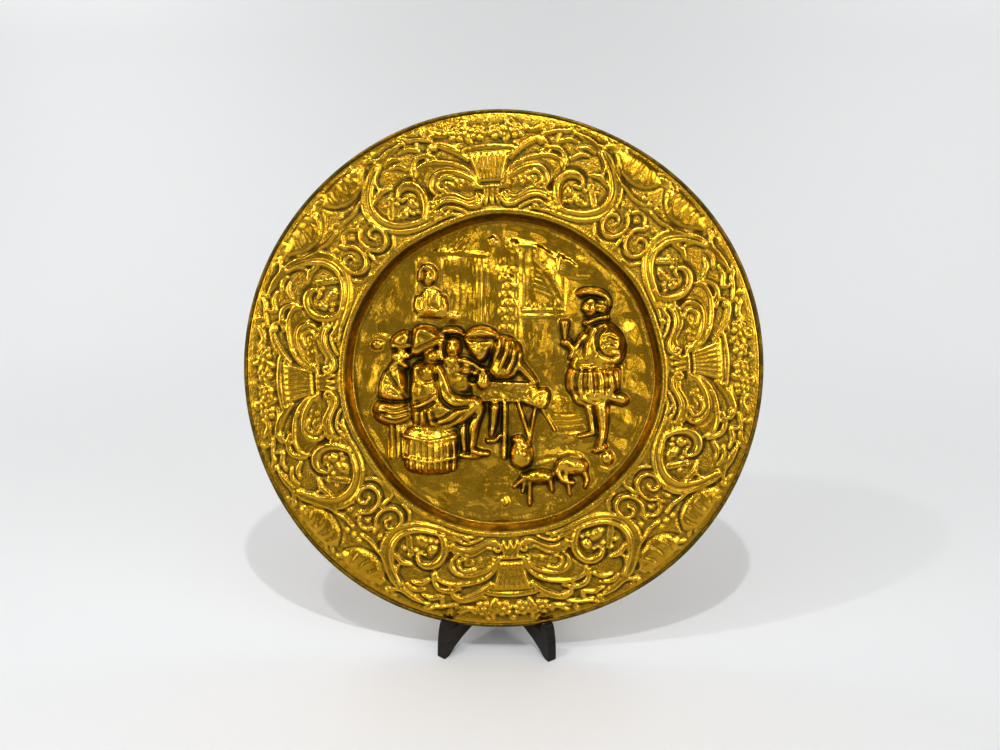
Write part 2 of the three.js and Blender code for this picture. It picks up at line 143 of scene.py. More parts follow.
def leaf(sheet, points, start, end, top, base=0, middle=None):
    """A ridge as round as a circle, with a vein cut down its middle."""
    share = stroke(sheet, points, start, end, middle)
    vein = 1 - 0.45 * np.exp(-(share / 0.22) ** 2)
    lift(sheet, share, base + (top - base) * np.sqrt(np.clip(1 - share**2, 0, 1)) * vein)


def oval(sheet, x, y, across, along, turn):
    """The cells round an oval of the two half axes, turned by degrees, and for each cell one
    minus the square of its distance in half axes."""
    cells, column, row = window(sheet, ((x, y), (x, y)), max(across, along))
    cosine, sine = np.cos(np.radians(turn)), np.sin(np.radians(turn))
    first = ((column - x) * cosine + (row - y) * sine) / across
    second = ((row - y) * cosine - (column - x) * sine) / along
    return cells, np.clip(1 - first**2 - second**2, 0, 1)


def dome(sheet, x, y, across, along, top, base=0, turn=0, power=0.7):
    """An oval dome: its height goes with what the oval gives, to the power."""
    cells, inside = oval(sheet, x, y, across, along, turn)
    raised = np.where(inside > 0, base + (top - base) * inside**power, 0)
    sheet.height[cells] = np.maximum(sheet.height[cells], raised)


def field(sheet, outline, top, edge, base=0, rounded=True):
    """A closed outline filled to a height: over its edge the height goes with the share of the
    edge times two minus that share, to the power 0.6."""
    corners = np.asarray(outline, float)
    if rounded:
        corners = curve_through(np.vstack([corners, corners[:1]]), 2.5)[:-1]
    cells, x, y = window(sheet, corners, 1)
    inside = np.zeros((y.size, x.size), bool)
    gap = np.full(inside.shape, 1e6)
    for start, end in zip(corners, np.roll(corners, -1, 0)):
        step = end - start
        if step[1] != 0:
            crossing = start[0] + (y - start[1]) * step[0] / step[1]
            inside ^= ((start[1] > y) != (end[1] > y)) & (x < crossing)
        gap = np.minimum(gap, near_line(x, y, start, end)[1])
    rise = np.clip(gap / edge, 0, 1)
    raised = base + (top - base) * (rise * (2 - rise)) ** 0.6
    sheet.height[cells] = np.where(inside, np.maximum(sheet.height[cells], raised), sheet.height[cells])


def fold(sheet, points, start, end, rise, middle=None):
    """A soft fold laid over what is there: the height grows by the rise times one minus the
    square of the share of the half width."""
    share = stroke(sheet, points, start, end, middle)
    sheet.height = sheet.height + rise * np.clip(1 - share**2, 0, 1)


def swell(sheet, x, y, across, along, rise, turn=0):
    """A soft oval swelling laid over what is there: the height grows by the rise times what the
    oval gives."""
    cells, inside = oval(sheet, x, y, across, along, turn)
    sheet.height[cells] += rise * inside


def cut(sheet, points, width, depth):
    """A chased line: the height is lowered by a bell-shaped groove along the curve."""
    share = stroke(sheet, points, width, width)
    sheet.height = sheet.height - np.where(share < 3, depth * np.exp(-share**2), 0)


def beads(sheet, points, spacing, radius, top, base=0):
    """A row of small domes along a curve."""
    for x, y in curve_through(points, spacing):
        dome(sheet, x, y, radius, radius, top, base)


def softened(height, reach):
    """The heights averaged with a bell-shaped weight of that reach, in millimetres, each way."""
    steps = int(3 * reach / cell) + 1
    weight = np.exp(-0.5 * (np.arange(-steps, steps + 1) * cell / reach) ** 2)
    weight /= weight.sum()
    for axis in (0, 1):
        margins = [(steps, steps) if axis == side else (0, 0) for side in (0, 1)]
        padded = np.pad(height, margins, "edge")
        across = np.arange(height.shape[axis])
        height = np.sum([share * padded.take(across + step, axis) for step, share in enumerate(weight)], 0)
    return height


def back_of(height, reach):
    """The hollows behind raised work: the softened heights, but nowhere more than a millimetre
    above the lowest of the cells within reach, so that the back stays behind the front."""
    lowest = height
    for axis in (0, 1):
        shifted = [np.roll(lowest, step, axis) for step in range(-reach, reach + 1)]
        lowest = np.minimum.reduce(shifted)
    return softened(np.minimum(softened(height, 1.8), lowest + 1), 0.8)


def sample(sheet, values, x, y):
    """The values at any points, weighted between the four nearest cells."""
    column = np.clip((x - sheet.x[0]) / cell, 0, len(sheet.x) - 1.001)
    row = np.clip((y - sheet.y[0]) / cell, 0, len(sheet.y) - 1.001)
    left, low = column.astype(int), row.astype(int)
    across, up = column - left, row - low
    below = values[low, left] * (1 - across) + values[low, left + 1] * across
    above = values[low + 1, left] * (1 - across) + values[low + 1, left + 1] * across
    return below * (1 - up) + above * up


# The tavern scene in the sunk middle: people drinking round a table in a timbered room,
# each figure a dressed shape of general form. Heights are millimetres above the floor of the well.
def room(sheet):
    """The room: a doorway of planks, a chimney of blocks, a window, a roof, two slotted studs and
    the strewn ground."""
    for x in (-81, -22.5, -18, -14.5):
        ridge(sheet, [(x, 46), (x, 105)], 1.5, 1.5, 1.8)
    field(sheet, [(-58, 45), (-25, 45), (-25, 108), (-58, 108)], 1.1, 2, rounded=False)
    for x in (-54, -49, -41, -34, -29):
        cut(sheet, [(x, 46), (x + 0.5, 107)], 0.7, 0.7)
    ridge(sheet, [(-84, 111), (-50, 113), (-14, 110)], 2.6, 2.6, 2)
    for row in range(9):
        for column in range(2):
            x = -2 + 7.5 * column + 3 * (row % 2)
            y = 37 + 8 * row
            field(sheet, [(x, y), (x + 6.5, y), (x + 6.5, y + 6.6), (x, y + 6.6)], 2.3, 2.6, rounded=False)
    ridge(sheet, [(16, 112), (16.5, 60), (16.5, 2)], 3, 3, 2.6)
    cut(sheet, [(21.4, 112), (23, 60), (22, 30)], 0.9, 1)
    dome(sheet, 11.5, 121, 4.5, 5, 3.6)
    field(sheet, [(25, 66), (57, 62), (57, 84), (50, 98), (34, 106), (25, 104)], 1.4, 4.4)
    for step in range(5):
        reach = 5 * step
        cut(sheet, [(28, 100 - reach), (36 + 0.5 * reach, 96 - 1.1 * reach), (47 + 0.6 * reach, 84 - reach)],
            0.9, 1.3)
        ridge(sheet, [(30, 98 - reach), (37 + 0.5 * reach, 94 - 1.1 * reach), (45 + 0.6 * reach, 84 - reach)],
              1, 0.8, 2.6)
    for x in (26, 31, 36, 41, 47, 53):
        dome(sheet, x, 63 + 2 * np.sin(x), 2.2, 2.8, 2.4)
    ridge(sheet, [(18, 57.5), (60, 58)], 1.7, 1.7, 2.4)
    ridge(sheet, [(18, 52), (60, 52.5)], 1.5, 1.5, 2.2)
    ridge(sheet, [(60, 58), (61, 88)], 1.3, 1.3, 1.8)
    chance = np.random.default_rng(3)
    for step in range(22):
        x = 23 + 2.0 * step + chance.uniform(-0.6, 0.6)
        high = chance.uniform(20, 48)
        low = high - chance.uniform(12, 26)
        ridge(sheet, [(x, high), (x + chance.uniform(-1, 1), low)], 0.8, 0.6, chance.uniform(0.8, 1.7))
    cut(sheet, [(8, 128), (30, 124), (48, 115), (66, 108)], 1.1, 1.3)
    ridge(sheet, [(14, 121), (34, 118), (50, 109), (58, 104)], 1.4, 1, 2)
    cut(sheet, [(18, 111), (35, 107), (52, 103)], 0.8, 0.9)
    for turn in range(5):
        ridge(sheet, [(55, 106 - 2.4 * turn), (63, 105 - 3.2 * turn), (72, 99 - 2.6 * turn)], 1.5, 0.7,
              3.6 - 0.3 * turn, middle=1.9)
    dome(sheet, 56.5, 108, 3, 4.5, 4.2, turn=20)
    ridge(sheet, [(60, 89.5), (84, 90)], 1.2, 1.2, 1.9)
    for x in (-48, -40, -32):
        ridge(sheet, [(x - 3, 117), (x + 4, 125)], 1.8, 0.9, 1.9)
    for x, y in ((-8, 124), (6, -127)):
        dome(sheet, x, y, 4.6, 4.6, 5)
        cut(sheet, [(x - 4, y - 2), (x + 4, y + 2)], 0.8, 2.4)
    for line in (-41, -46, -51, -58):
        cut(sheet, [(48, line), (62, line - 1.5), (80, line + 1)], 0.8, 0.9)
        ridge(sheet, [(52, line - 2.4), (64, line - 3.6), (76, line - 2)], 1, 0.7, 1.2)
    for step in range(26):
        x = chance.uniform(36, 88)
        y = chance.uniform(-76, -60)
        dome(sheet, x, y, chance.uniform(1.6, 4), chance.uniform(1, 2), chance.uniform(1, 2))
    for step in range(22):
        x = chance.uniform(-84, 60)
        y = chance.uniform(-126, -104)
        ridge(sheet, [(x, y), (x + chance.uniform(5, 14), y + chance.uniform(-2, 2))], 0.9, 0.5,
              chance.uniform(0.6, 1.4))
    ridge(sheet, [(-31, -131), (-24, -129), (-15, -129.5), (-12, -134)], 1.4, 1, 1.8)
    ridge(sheet, [(50, -131), (60, -126.5), (74, -123)], 1.2, 1, 1.6)
    ridge(sheet, [(96, -93), (107, -97), (114, -104)], 2, 1.2, 2)


def woman_at_the_back(sheet):
    """A half figure in the doorway with a dish in the hands."""
    field(sheet, [(-82, 50), (-80, 68), (-74, 78), (-64, 79), (-56, 70), (-51, 50)], 3.4, 7)
    for x in (-74, -67, -60):
        ridge(sheet, [(x, 74), (x - 1, 64), (x + 2, 54)], 1.6, 1.4, 4.2, 1)
    ridge(sheet, [(-80, 68), (-81, 58), (-72, 55)], 3.4, 3, 4.4)
    ridge(sheet, [(-56, 68), (-54, 58), (-63, 55)], 3.4, 3, 4.4)
    dome(sheet, -69, 57, 7, 4, 5)
    dome(sheet, -71, 88, 6.4, 8.4, 4.8, power=0.5)
    ridge(sheet, [(-79, 86), (-77, 96), (-70, 98.5), (-64, 93), (-64, 86)], 2, 2, 5.2, 1)
    ridge(sheet, [(-71, 89.5), (-71.4, 86)], 0.9, 1.2, 5.4, 3)
    for x in (-74, -68.4):
        cut(sheet, [(x - 1.2, 90), (x + 1.2, 90)], 0.6, 0.7)
    cut(sheet, [(-73, 83.4), (-69.4, 83.4)], 0.6, 0.6)
    dome(sheet, -46, 51, 7, 4.4, 3)


def standing_drinker(sheet):
    """The man on the right in a belted coat, a short cloak and a beret, who lifts a glass."""
    ridge(sheet, [(84, -30), (87, -44), (89, -57)], 4.6, 3, 4.6)
    ridge(sheet, [(96, -26), (98, -44), (98.5, -58), (96, -71)], 8, 3.6, 7.4, middle=6)
    ridge(sheet, [(99, -73), (92, -76.5)], 4.4, 2.8, 6)
    ridge(sheet, [(90, -59), (82, -61.5), (75, -63)], 2.8, 1.6, 3.8)
    dome(sheet, 103.5, -83, 6.5, 7.5, 3.6)
    field(sheet, [(67, -19), (70, -29), (78, -34), (92, -34), (104, -31), (110, -22), (106, -12), (74, -12)],
          8, 11)
    cut(sheet, [(73, -23), (77, -29), (86, -32.6)], 1.2, 1.8)
    cut(sheet, [(81, -24), (87, -29), (97, -30)], 1, 1.4)
    field(sheet, [(99, -15), (107, -19), (117, -21), (123.5, -27), (119, -33.5), (108, -31), (98, -26)], 6, 6)
    field(sheet, [(67, 8), (63, -4), (62.5, -13), (66, -20), (84, -23), (103, -21), (113, -20), (115, -8),
                  (112, 6), (90, 9)], 9, 12)
    for x, foot in ((70, 67), (77, 76), (85, 86), (94, 96), (103, 106)):
        fold(sheet, [(x, 1), (foot, -8), (foot + 0.5, -20)], 2.4, 3.4, 1.6)
        cut(sheet, [(x + 4, 0), (foot + 4.4, -9), (foot + 5, -21)], 1.3, 1.8)
    field(sheet, [(81, 45), (97, 49), (109, 44), (117, 34), (120, 22), (116, 9), (104, 4), (84, 2), (68, 5),
                  (68.5, 16), (74, 27), (79, 36)], 10, 16)
    cut(sheet, [(65, 4), (80, 0.6), (96, 2), (116, 6)], 1.4, 2.6)
    fold(sheet, [(66, 8), (80, 5), (96, 6.5)], 2, 2, 1)
    swell(sheet, 103, 28, 12.5, 14, 2.6, turn=20)
    cut(sheet, [(97, 41), (92, 33), (91.5, 24), (96, 16), (104, 12.5), (112, 15)], 1.5, 2.6)
    cut(sheet, [(98, 31), (103, 33.5), (109, 31)], 1.3, 1.8)
    cut(sheet, [(97, 24), (102, 27), (108, 25)], 1.3, 1.8)
    cut(sheet, [(101, 18.5), (106, 20), (111, 19)], 1.1, 1.5)
    fold(sheet, [(112, 15), (109, 6), (104, -1)], 4, 3, 2.2)
    fold(sheet, [(89, 40), (83, 27), (82, 12)], 3.4, 2.6, 1.6)
    cut(sheet, [(84, 40), (78, 27), (76.5, 12)], 1.3, 1.6)
    cut(sheet, [(92, 20), (88, 12), (89, 6)], 1.2, 1.4)
    ridge(sheet, [(80, 34), (72, 22), (67.5, 13)], 3.6, 3, 7.4, middle=4)
    ridge(sheet, [(72, 15), (68, 22), (64.5, 26)], 4.8, 3.8, 6.8)
    dome(sheet, 63, 27, 6.4, 5.6, 7.2)
    for step in range(3):
        cut(sheet, [(58.5, 30 - 2.9 * step), (66, 28.8 - 2.9 * step)], 0.8, 1.4)
    field(sheet, [(56, 49), (66, 49), (63.4, 31), (59, 31)], 5.6, 3.4, rounded=False)
    cut(sheet, [(61, 46), (61, 33)], 0.8, 1.2)
    dome(sheet, 96, 61, 8, 11, 8.6)
    dome(sheet, 86.5, 60.5, 8.4, 11.5, 8.6)
    ridge(sheet, [(81.4, 65), (79, 59.6), (81.4, 58)], 1.5, 1.9, 8)
    fold(sheet, [(80.6, 67.4), (86.6, 68)], 1.4, 1.2, 1)
    cut(sheet, [(81.6, 64.4), (86, 65)], 0.9, 1.4)
    cut(sheet, [(80, 55.4), (85, 55.2)], 0.8, 1.2)
    swell(sheet, 87, 58.5, 3.4, 3.4, 0.9)
    for line in (65, 59, 54):
        cut(sheet, [(91.5, line + 1), (97, line - 1), (102, line - 3)], 1, 1.4)
    ridge(sheet, [(82, 45.6), (91, 49.4), (100, 51)], 3.4, 3.6, 9.4)
    cut(sheet, [(84, 49.8), (91, 52.8), (99, 54)], 1, 1.6)
    field(sheet, [(71, 75), (78, 79.4), (91, 80), (100, 76), (105, 68), (104.5, 60), (98, 66), (86, 70),
                  (76, 70.4)], 10, 6)
    cut(sheet, [(75, 71), (86, 71.6), (98, 67.6)], 1.1, 2)


def left_drinker(sheet):
    """The man at the far left in a low hat, seated sideways on a stool."""
    for x in (-105, -99, -94):
        ridge(sheet, [(x, -56), (x + 0.5, -86)], 2.2, 1.6, 2.8)
    dome(sheet, -104, -41, 20, 14.5, 8.6, power=0.75)
    for y, reach in ((-36, 11), (-41, 13), (-46, 11)):
        fold(sheet, [(-101 - reach, y + 1.6), (-101, y - 1.2), (-101 + reach, y + 1.6)], 1, 1, 1.2, middle=2)
        cut(sheet, [(-101 - reach, y - 1.2), (-101, y - 4), (-101 + reach, y - 0.8)], 1, 1.6)
    swell(sheet, -116, -37, 6.4, 6.4, 3.4)
    cut(sheet, [(-122, -43), (-115, -45.6), (-108, -41)], 1.1, 2)
    field(sheet, [(-118, -30), (-116.5, -13), (-111, -2), (-101, 4.5), (-94, 1), (-89.4, -11), (-88.5, -30),
                  (-103, -33)], 9, 11)
    fold(sheet, [(-111, -5), (-113, -14), (-112, -25)], 2.6, 2.4, 1.6)
    fold(sheet, [(-98, -1), (-96, -12), (-94, -22)], 2.6, 2.4, 1.4)
    cut(sheet, [(-107, -4), (-99, -16), (-91, -27)], 1.5, 2.6)
    cut(sheet, [(-109, -14), (-104, -19), (-97, -27)], 1.2, 1.6)
    for x, y in ((-107, -17), (-106, -24)):
        fold(sheet, [(x, y), (x + 8, y - 3)], 2, 1.6, 1.5)
    cut(sheet, [(-119, -28), (-104, -31.6), (-88, -30)], 1.3, 2.4)
    ridge(sheet, [(-122, 31), (-115, 32.5), (-108, 29)], 1.6, 1.2, 1.8)
    dome(sheet, -120, 23, 6.6, 5.4, 2.6)
    ridge(sheet, [(-104, 1), (-98, 7), (-92, 3)], 5, 4.4, 7)
    dome(sheet, -96, 13, 7.6, 8.6, 8)
    dome(sheet, -101.5, 12, 3.6, 5.4, 8)
    ridge(sheet, [(-89.8, 15.6), (-88.2, 12), (-90.4, 11)], 1.2, 1.5, 7)
    cut(sheet, [(-95, 15.4), (-91, 15.6)], 0.9, 1.3)
    cut(sheet, [(-93, 8.2), (-89.8, 8.4)], 0.8, 1.1)
    field(sheet, [(-107.5, 20), (-106, 30), (-99, 35.5), (-91, 38), (-85.5, 33), (-85, 21), (-96, 18)],
          9.2, 7.4)
    fold(sheet, [(-106, 21.4), (-96, 19.8), (-85.5, 21.8)], 1.8, 1.8, 1)
    cut(sheet, [(-106, 24), (-96, 22.4), (-86, 24.4)], 1, 1.6)
    fold(sheet, [(-92, 25), (-88.4, 31)], 2, 1.4, 1)


def barrel(sheet):
    """The barrel that serves as a seat, of staves held by two hoops."""
    field(sheet, [(-91, -57), (-43, -57), (-40.5, -78), (-43, -97), (-67, -102), (-90, -97), (-92.5, -78)],
          6, 11)
    dome(sheet, -67, -58.5, 24.5, 5, 5)
    for step in range(8):
        x = -87 + 5.8 * step
        ridge(sheet, [(x + 2, -71), (x + 2 + 0.04 * (x + 67), -80), (x + 2, -96)], 2, 1.8, 7.4, 4)
        cut(sheet, [(x, -71), (x + 0.04 * (x + 67), -80), (x, -98)], 0.8, 1.3)
    for line in (-67, -87):
        ridge(sheet, [(-91.5, line + 2.6), (-67, line - 2), (-42, line + 2.6)], 1.8, 1.8, 8.2, 4)


def barrel_drinker(sheet):
    """The man seated on a barrel with his back to the viewer, in a broad tall hat."""
    ridge(sheet, [(-20, -36), (-25, -54), (-27, -74)], 6.4, 3.4, 7, middle=5.6)
    cut(sheet, [(-22, -44), (-27, -56), (-29, -72)], 1, 1.6)
    ridge(sheet, [(-36, -50), (-35, -64), (-34, -77)], 4.8, 3.2, 4.8)
    ridge(sheet, [(-26, -78.6), (-19, -80.4), (-11, -80.6)], 4, 2.6, 5.6)
    ridge(sheet, [(-38, -82.6), (-29, -84), (-20, -84)], 2.8, 2.2, 4)
    field(sheet, [(-86, 3), (-78, 9), (-66, 9.5), (-57, 4), (-50, -6), (-45, -17), (-37, -23), (-27, -25.5),
                  (-18, -24), (-14.5, -31), (-17, -41), (-27, -50), (-41, -57), (-60, -58.5), (-78, -55),
                  (-87, -44), (-89, -22)], 10, 16)
    ridge(sheet, [(-60, 1), (-54, -11), (-49.5, -22), (-42, -28.6), (-33, -30), (-25, -29)],
          5.6, 5, 9.6, middle=5.4)
    cut(sheet, [(-62, -6), (-58, -20), (-54.5, -30), (-45, -36.6), (-31, -36)], 1.7, 3.4)
    swell(sheet, -69, -1, 7.4, 7.4, 3)
    cut(sheet, [(-79, -1), (-77, -9), (-70, -12.6), (-62, -10)], 1.4, 2)
    swell(sheet, -22, -32.6, 7, 6.6, 2.2)
    fold(sheet, [(-82, -14), (-83, -26), (-82, -36)], 3, 2.6, 1.4)
    fold(sheet, [(-70, -15), (-66, -22), (-60, -26)], 2.6, 2, 1.4)
    fold(sheet, [(-81, -36), (-71, -32.4), (-61, -26)], 2.2, 2.2, 1.8)
    cut(sheet, [(-82, -32), (-72, -28.6), (-64, -23)], 1.2, 1.8)
    cut(sheet, [(-81, -39.6), (-73, -37), (-62, -32)], 1.3, 2.2)
    for x, foot in ((-80, -82), (-74, -73), (-67, -65)):
        fold(sheet, [(x, -41), (foot, -54)], 2.6, 2.8, 1.8)
        cut(sheet, [(x + 3.2, -40), (foot + 4, -53)], 1.2, 2)
    swell(sheet, -59, -31, 3.4, 3, 1.6)
    swell(sheet, -55, -36.5, 3.2, 3, 1.6)
    for start, end, drop in (((-64, -50), (-44, -39), 2), ((-56, -54), (-33, -41), 2.6),
                             ((-44, -55), (-23, -43), 2.4)):
        middle = ((start[0] + end[0]) / 2, (start[1] + end[1]) / 2 - drop)
        cut(sheet, [start, middle, end], 1.5, 2.6)
    dome(sheet, -66, 13, 10, 9, 8.6)
    field(sheet, [(-87, 12), (-88, 27), (-85, 38), (-78, 43), (-68, 42.5), (-60, 39), (-55, 31.5),
                  (-56.5, 25), (-66, 19), (-76, 14)], 11, 9)
    fold(sheet, [(-80, 13.6), (-69, 19.4), (-57.6, 25.6)], 2, 2, 1.2)
    cut(sheet, [(-82, 18), (-71, 23.6), (-58, 29.4)], 1.3, 2.2)
    fold(sheet, [(-79, 38), (-71, 36), (-63, 31)], 2.4, 2, 0.9)


def table_drinkers(sheet):
    """Two men behind the table: one in a beret, one bent over his arm in a broad hat."""
    field(sheet, [(-57, 12), (-46, 14), (-36, 9), (-30, -4), (-32, -22), (-52, -22)], 4.6, 9)
    ridge(sheet, [(-56, 31), (-57.5, 21), (-56, 10)], 4, 3, 7)
    dome(sheet, -46, 21.5, 8.4, 12, 9.6)
    ridge(sheet, [(-45.6, 25), (-45, 20), (-46.6, 19.2)], 1.3, 1.8, 10.4, 7)
    for x in (-49.8, -41.6):
        fold(sheet, [(x - 2, 27), (x + 2, 27)], 1.2, 1.2, 0.9)
        cut(sheet, [(x - 1.8, 24.4), (x + 1.8, 24.4)], 0.9, 1.6)
    swell(sheet, -50, 19, 3, 3, 0.7)
    swell(sheet, -41.4, 19, 3, 3, 0.7)
    cut(sheet, [(-49, 15.2), (-43, 15.2)], 0.9, 1.4)
    field(sheet, [(-61, 32), (-56, 40), (-46, 42), (-38, 39), (-34, 32), (-43, 33), (-52, 32.4)], 10, 6)
    field(sheet, [(-4, 35), (7, 33), (16, 27.5), (21, 18), (21, 5), (14, -6), (4, -10), (-6, -9), (-13, -1),
                  (-10, 10), (-10, 24)], 10.6, 13)
    for start, end in (((-1, 29), (-6, 10)), ((7, 27), (0, 2)), ((14, 20), (7, -3))):
        middle = ((start[0] + end[0]) / 2 + 1.6, (start[1] + end[1]) / 2 - 1)
        fold(sheet, [start, middle, end], 2.4, 2.2, 1.6)
        cut(sheet, [(start[0] + 3.8, start[1] - 1), (middle[0] + 3.8, middle[1]), (end[0] + 3.8, end[1])],
            1.4, 2.4)
    swell(sheet, 11, 16, 5, 6, 1.6, turn=-20)
    swell(sheet, -2, -3, 5, 3.6, 1.6)
    ridge(sheet, [(19, 4), (27, -5), (33, -12)], 5.4, 3.6, 5.4)
    field(sheet, [(-36, 30), (-31, 18), (-24, 9), (-19, 7), (-12, 12), (-7, 22), (-7, 31)], 8.8, 9)
    ridge(sheet, [(-21.6, 23), (-22.6, 17.6), (-20.4, 16.6)], 1.3, 1.8, 9.4, 6)
    for x in (-26, -16.6):
        fold(sheet, [(x - 2.2, 25.4), (x + 2.2, 25.4)], 1.3, 1.3, 0.9)
        cut(sheet, [(x - 1.8, 22.6), (x + 1.8, 22.6)], 0.9, 1.6)
    cut(sheet, [(-24, 12.8), (-18, 13)], 0.9, 1.3)
    for x, y in ((-9, 23), (-5, 26), (-3, 21)):
        swell(sheet, x, y, 2.6, 3.4, 1.4)
    field(sheet, [(-37, 30), (-32, 38), (-21, 42.5), (-10, 40.5), (-2, 35), (3, 30.5), (-8, 28.6),
                  (-22, 27.4)], 11, 7)
    cut(sheet, [(-36, 31.4), (-22, 30.6), (0, 32)], 1.1, 1.8)
    ridge(sheet, [(-40, 9), (-28, 6), (-17, -1)], 3.8, 3, 7)
    dome(sheet, -33, -0.4, 8.4, 7.4, 9.4)
    for step in range(3):
        cut(sheet, [(-39.5, 3.6 - 3.4 * step), (-33, 2 - 3.4 * step), (-26.6, 3.2 - 3.4 * step)], 1, 2)
    dome(sheet, -24, -3, 4.4, 4, 8)


def table_and_jug(sheet):
    """The table with a jug on it, its legs, a bench end and a leg that shows below."""
    field(sheet, [(-30, -12), (33, -13), (19, -29), (-26, -29)], 3.4, 2.4, rounded=False)
    ridge(sheet, [(-12, -12), (10, -12.6), (31, -13)], 1.2, 1.2, 4.8)
    ridge(sheet, [(-27, -29.5), (18, -29.5)], 1.3, 1.3, 4.6)
    for shift in (0, 3.4):
        ridge(sheet, [(18 + shift, -30), (31 + shift, -16)], 1.3, 1.3, 5.2)
    chance = np.random.default_rng(5)
    for step in range(16):
        x = chance.uniform(-8, 26)
        y = chance.uniform(-27, -15)
        ridge(sheet, [(x, y), (x + chance.uniform(2, 6), y + chance.uniform(-1, 1))], 0.8, 0.6, 4.4, 3)
    ridge(sheet, [(4.6, -31), (4.4, -84)], 3, 3, 5.2)
    ridge(sheet, [(17.5, -31), (29, -67)], 2.2, 2.2, 4.4)
    ridge(sheet, [(33.5, -38), (29, -66)], 2, 2, 4)
    field(sheet, [(34, -17), (44, -16.5), (48, -21), (47.5, -30), (41, -38), (33, -36), (21, -30)], 5.2, 5)
    for step in range(4):
        ridge(sheet, [(34 + 3 * step, -33 + 2 * step), (38 + 2.4 * step, -27 + 2 * step)], 1.2, 1, 6, 3)
    ridge(sheet, [(41, -38), (53, -58)], 1.8, 1.4, 3.4)
    ridge(sheet, [(-5, -35), (-6, -48), (-8, -62)], 5.6, 3, 5.4)
    dome(sheet, -5, -37, 5, 5.6, 6.6, 2)
    ridge(sheet, [(-12, -68.5), (-4, -67.5), (0, -63)], 2.4, 2.4, 4.6)
    dome(sheet, -16, -11.5, 8.6, 9.4, 8.6, power=0.55)
    ridge(sheet, [(-16, -3), (-15.4, 1)], 3, 2.4, 7)
    for x in (-20.5, -14.6):
        ridge(sheet, [(x, -13), (x + 1.6, -4)], 1.4, 1, 9.6, 6)
    dome(sheet, 21, -81, 11.6, 15.5, 8.4, power=0.55)
    dome(sheet, 18, -67, 7.4, 4.6, 6.4)
    dome(sheet, 23.5, -80, 3.8, 3.8, 10, 6)
    for line in (-72, -92):
        cut(sheet, [(11, line), (20, line - 3), (31, line)], 0.9, 1.6)


def dogs(sheet):
    """Two dogs nosing about on the floor, one with its rump to the viewer's right."""
    dome(sheet, 38, -102, 16, 8, 6.4, turn=4)
    swell(sheet, 28, -102, 6, 7, 1.6)
    swell(sheet, 48, -103, 5.6, 7, 1.8)
    ridge(sheet, [(27, -103), (20, -107), (14.5, -112)], 4.2, 2.2, 5)
    dome(sheet, 23, -101.5, 2.4, 3.4, 6, turn=30)
    for x, y, foot, end in ((29, -106, 29.5, -129), (24.5, -107, 22.5, -117), (49, -106, 51, -116)):
        ridge(sheet, [(x, y), (foot, end)], 3.4, 1.9, 4.6)
    ridge(sheet, [(53, -99), (57, -95), (56, -91)], 1.6, 1, 3.6)
    dome(sheet, 69, -91, 17, 9.4, 6.8, turn=-3)
    swell(sheet, 58, -92, 5.4, 7.6, 2)
    swell(sheet, 80, -93, 5.6, 8.4, 2)
    ridge(sheet, [(56, -96), (59.5, -103.5), (66, -106.5)], 4.4, 3, 6)
    dome(sheet, 70, -107, 3.6, 2.8, 5)
    cut(sheet, [(61, -99), (64, -102), (69, -103)], 0.9, 1.4)
    ridge(sheet, [(63, -97), (66, -108), (68, -119)], 3, 2, 4.2)
    ridge(sheet, [(82, -98), (84, -105), (82, -111)], 3, 1.8, 4.2)
    ridge(sheet, [(58, -80.4), (68, -79), (79, -82)], 1.4, 1.2, 2.4)
    ridge(sheet, [(36, -90), (47, -87.6), (56, -86)], 1.2, 1, 1.8)


room_share = 0.38
figure_gain = 1.25
dent_height = 1.0
small_dent_height = 0.08
lump_height = 0.4
patch_tarnish = 0.45
tavern_back_cells = 3


def worked(chance, sheet, reach):
    """Uneven hand work: random heights, softened over the reach and brought to a spread of one."""
    heights = softened(chance.normal(size=sheet.height.shape), reach)
    return heights / heights.std()


def tavern_sheet():
    """The whole scene on a floor that is dented by hand; a chased line is left round what
    stands up. The sheet also keeps how hollow each cell is, for its patina and its painted
    shade, and its back."""
    sheet = blank_sheet(-150, 150, -150, 150)
    room(sheet)
    sheet.height = room_share * sheet.height
    for part in (woman_at_the_back, left_drinker, barrel, table_drinkers, table_and_jug,
                 barrel_drinker, standing_drinker, dogs):
        part(sheet)
    smooth = softened(figure_gain * sheet.height, 0.8)
    sheet.height = np.maximum(smooth + 0.2 * (smooth - softened(smooth, 3)), -1)
    steep = np.hypot(*np.gradient(sheet.height, cell))
    # The hollow mask: patina in the hollows, painted shade in the outlines round what stands up, and painted
    # dark reflection on every steep side.
    sheet.hollow = softened(sheet.height, 2.4) - sheet.height + 0.9 * np.clip(steep - 0.8, 0, 1)
    chance = np.random.default_rng(11)
    dents = dent_height * worked(chance, sheet, 6)
    small_dents = small_dent_height * worked(chance, sheet, 2.2)
    sheet.height = sheet.height + dents + small_dents
    lumps = lump_height * worked(chance, sheet, 2.4)
    patches = patch_tarnish * worked(chance, sheet, 9)
    raised = np.clip(sheet.height / 2 - 0.5, 0, 1)
    sheet.height = sheet.height + raised * lumps
    sheet.hollow = 0.7 * sheet.hollow + raised * patches
    sheet.back = back_of(sheet.height, tavern_back_cells)
    return sheet


# The border: four fluted urns, and between them scrolls, straps, leaves and shells on a ground
# of small punch marks. It is drawn once, from an urn to the middle of the next gap, and mirrored.
# w runs along the band from the urn, and v is the distance from the plate's middle.
unit_length = 159.4
border_back_cells = 6


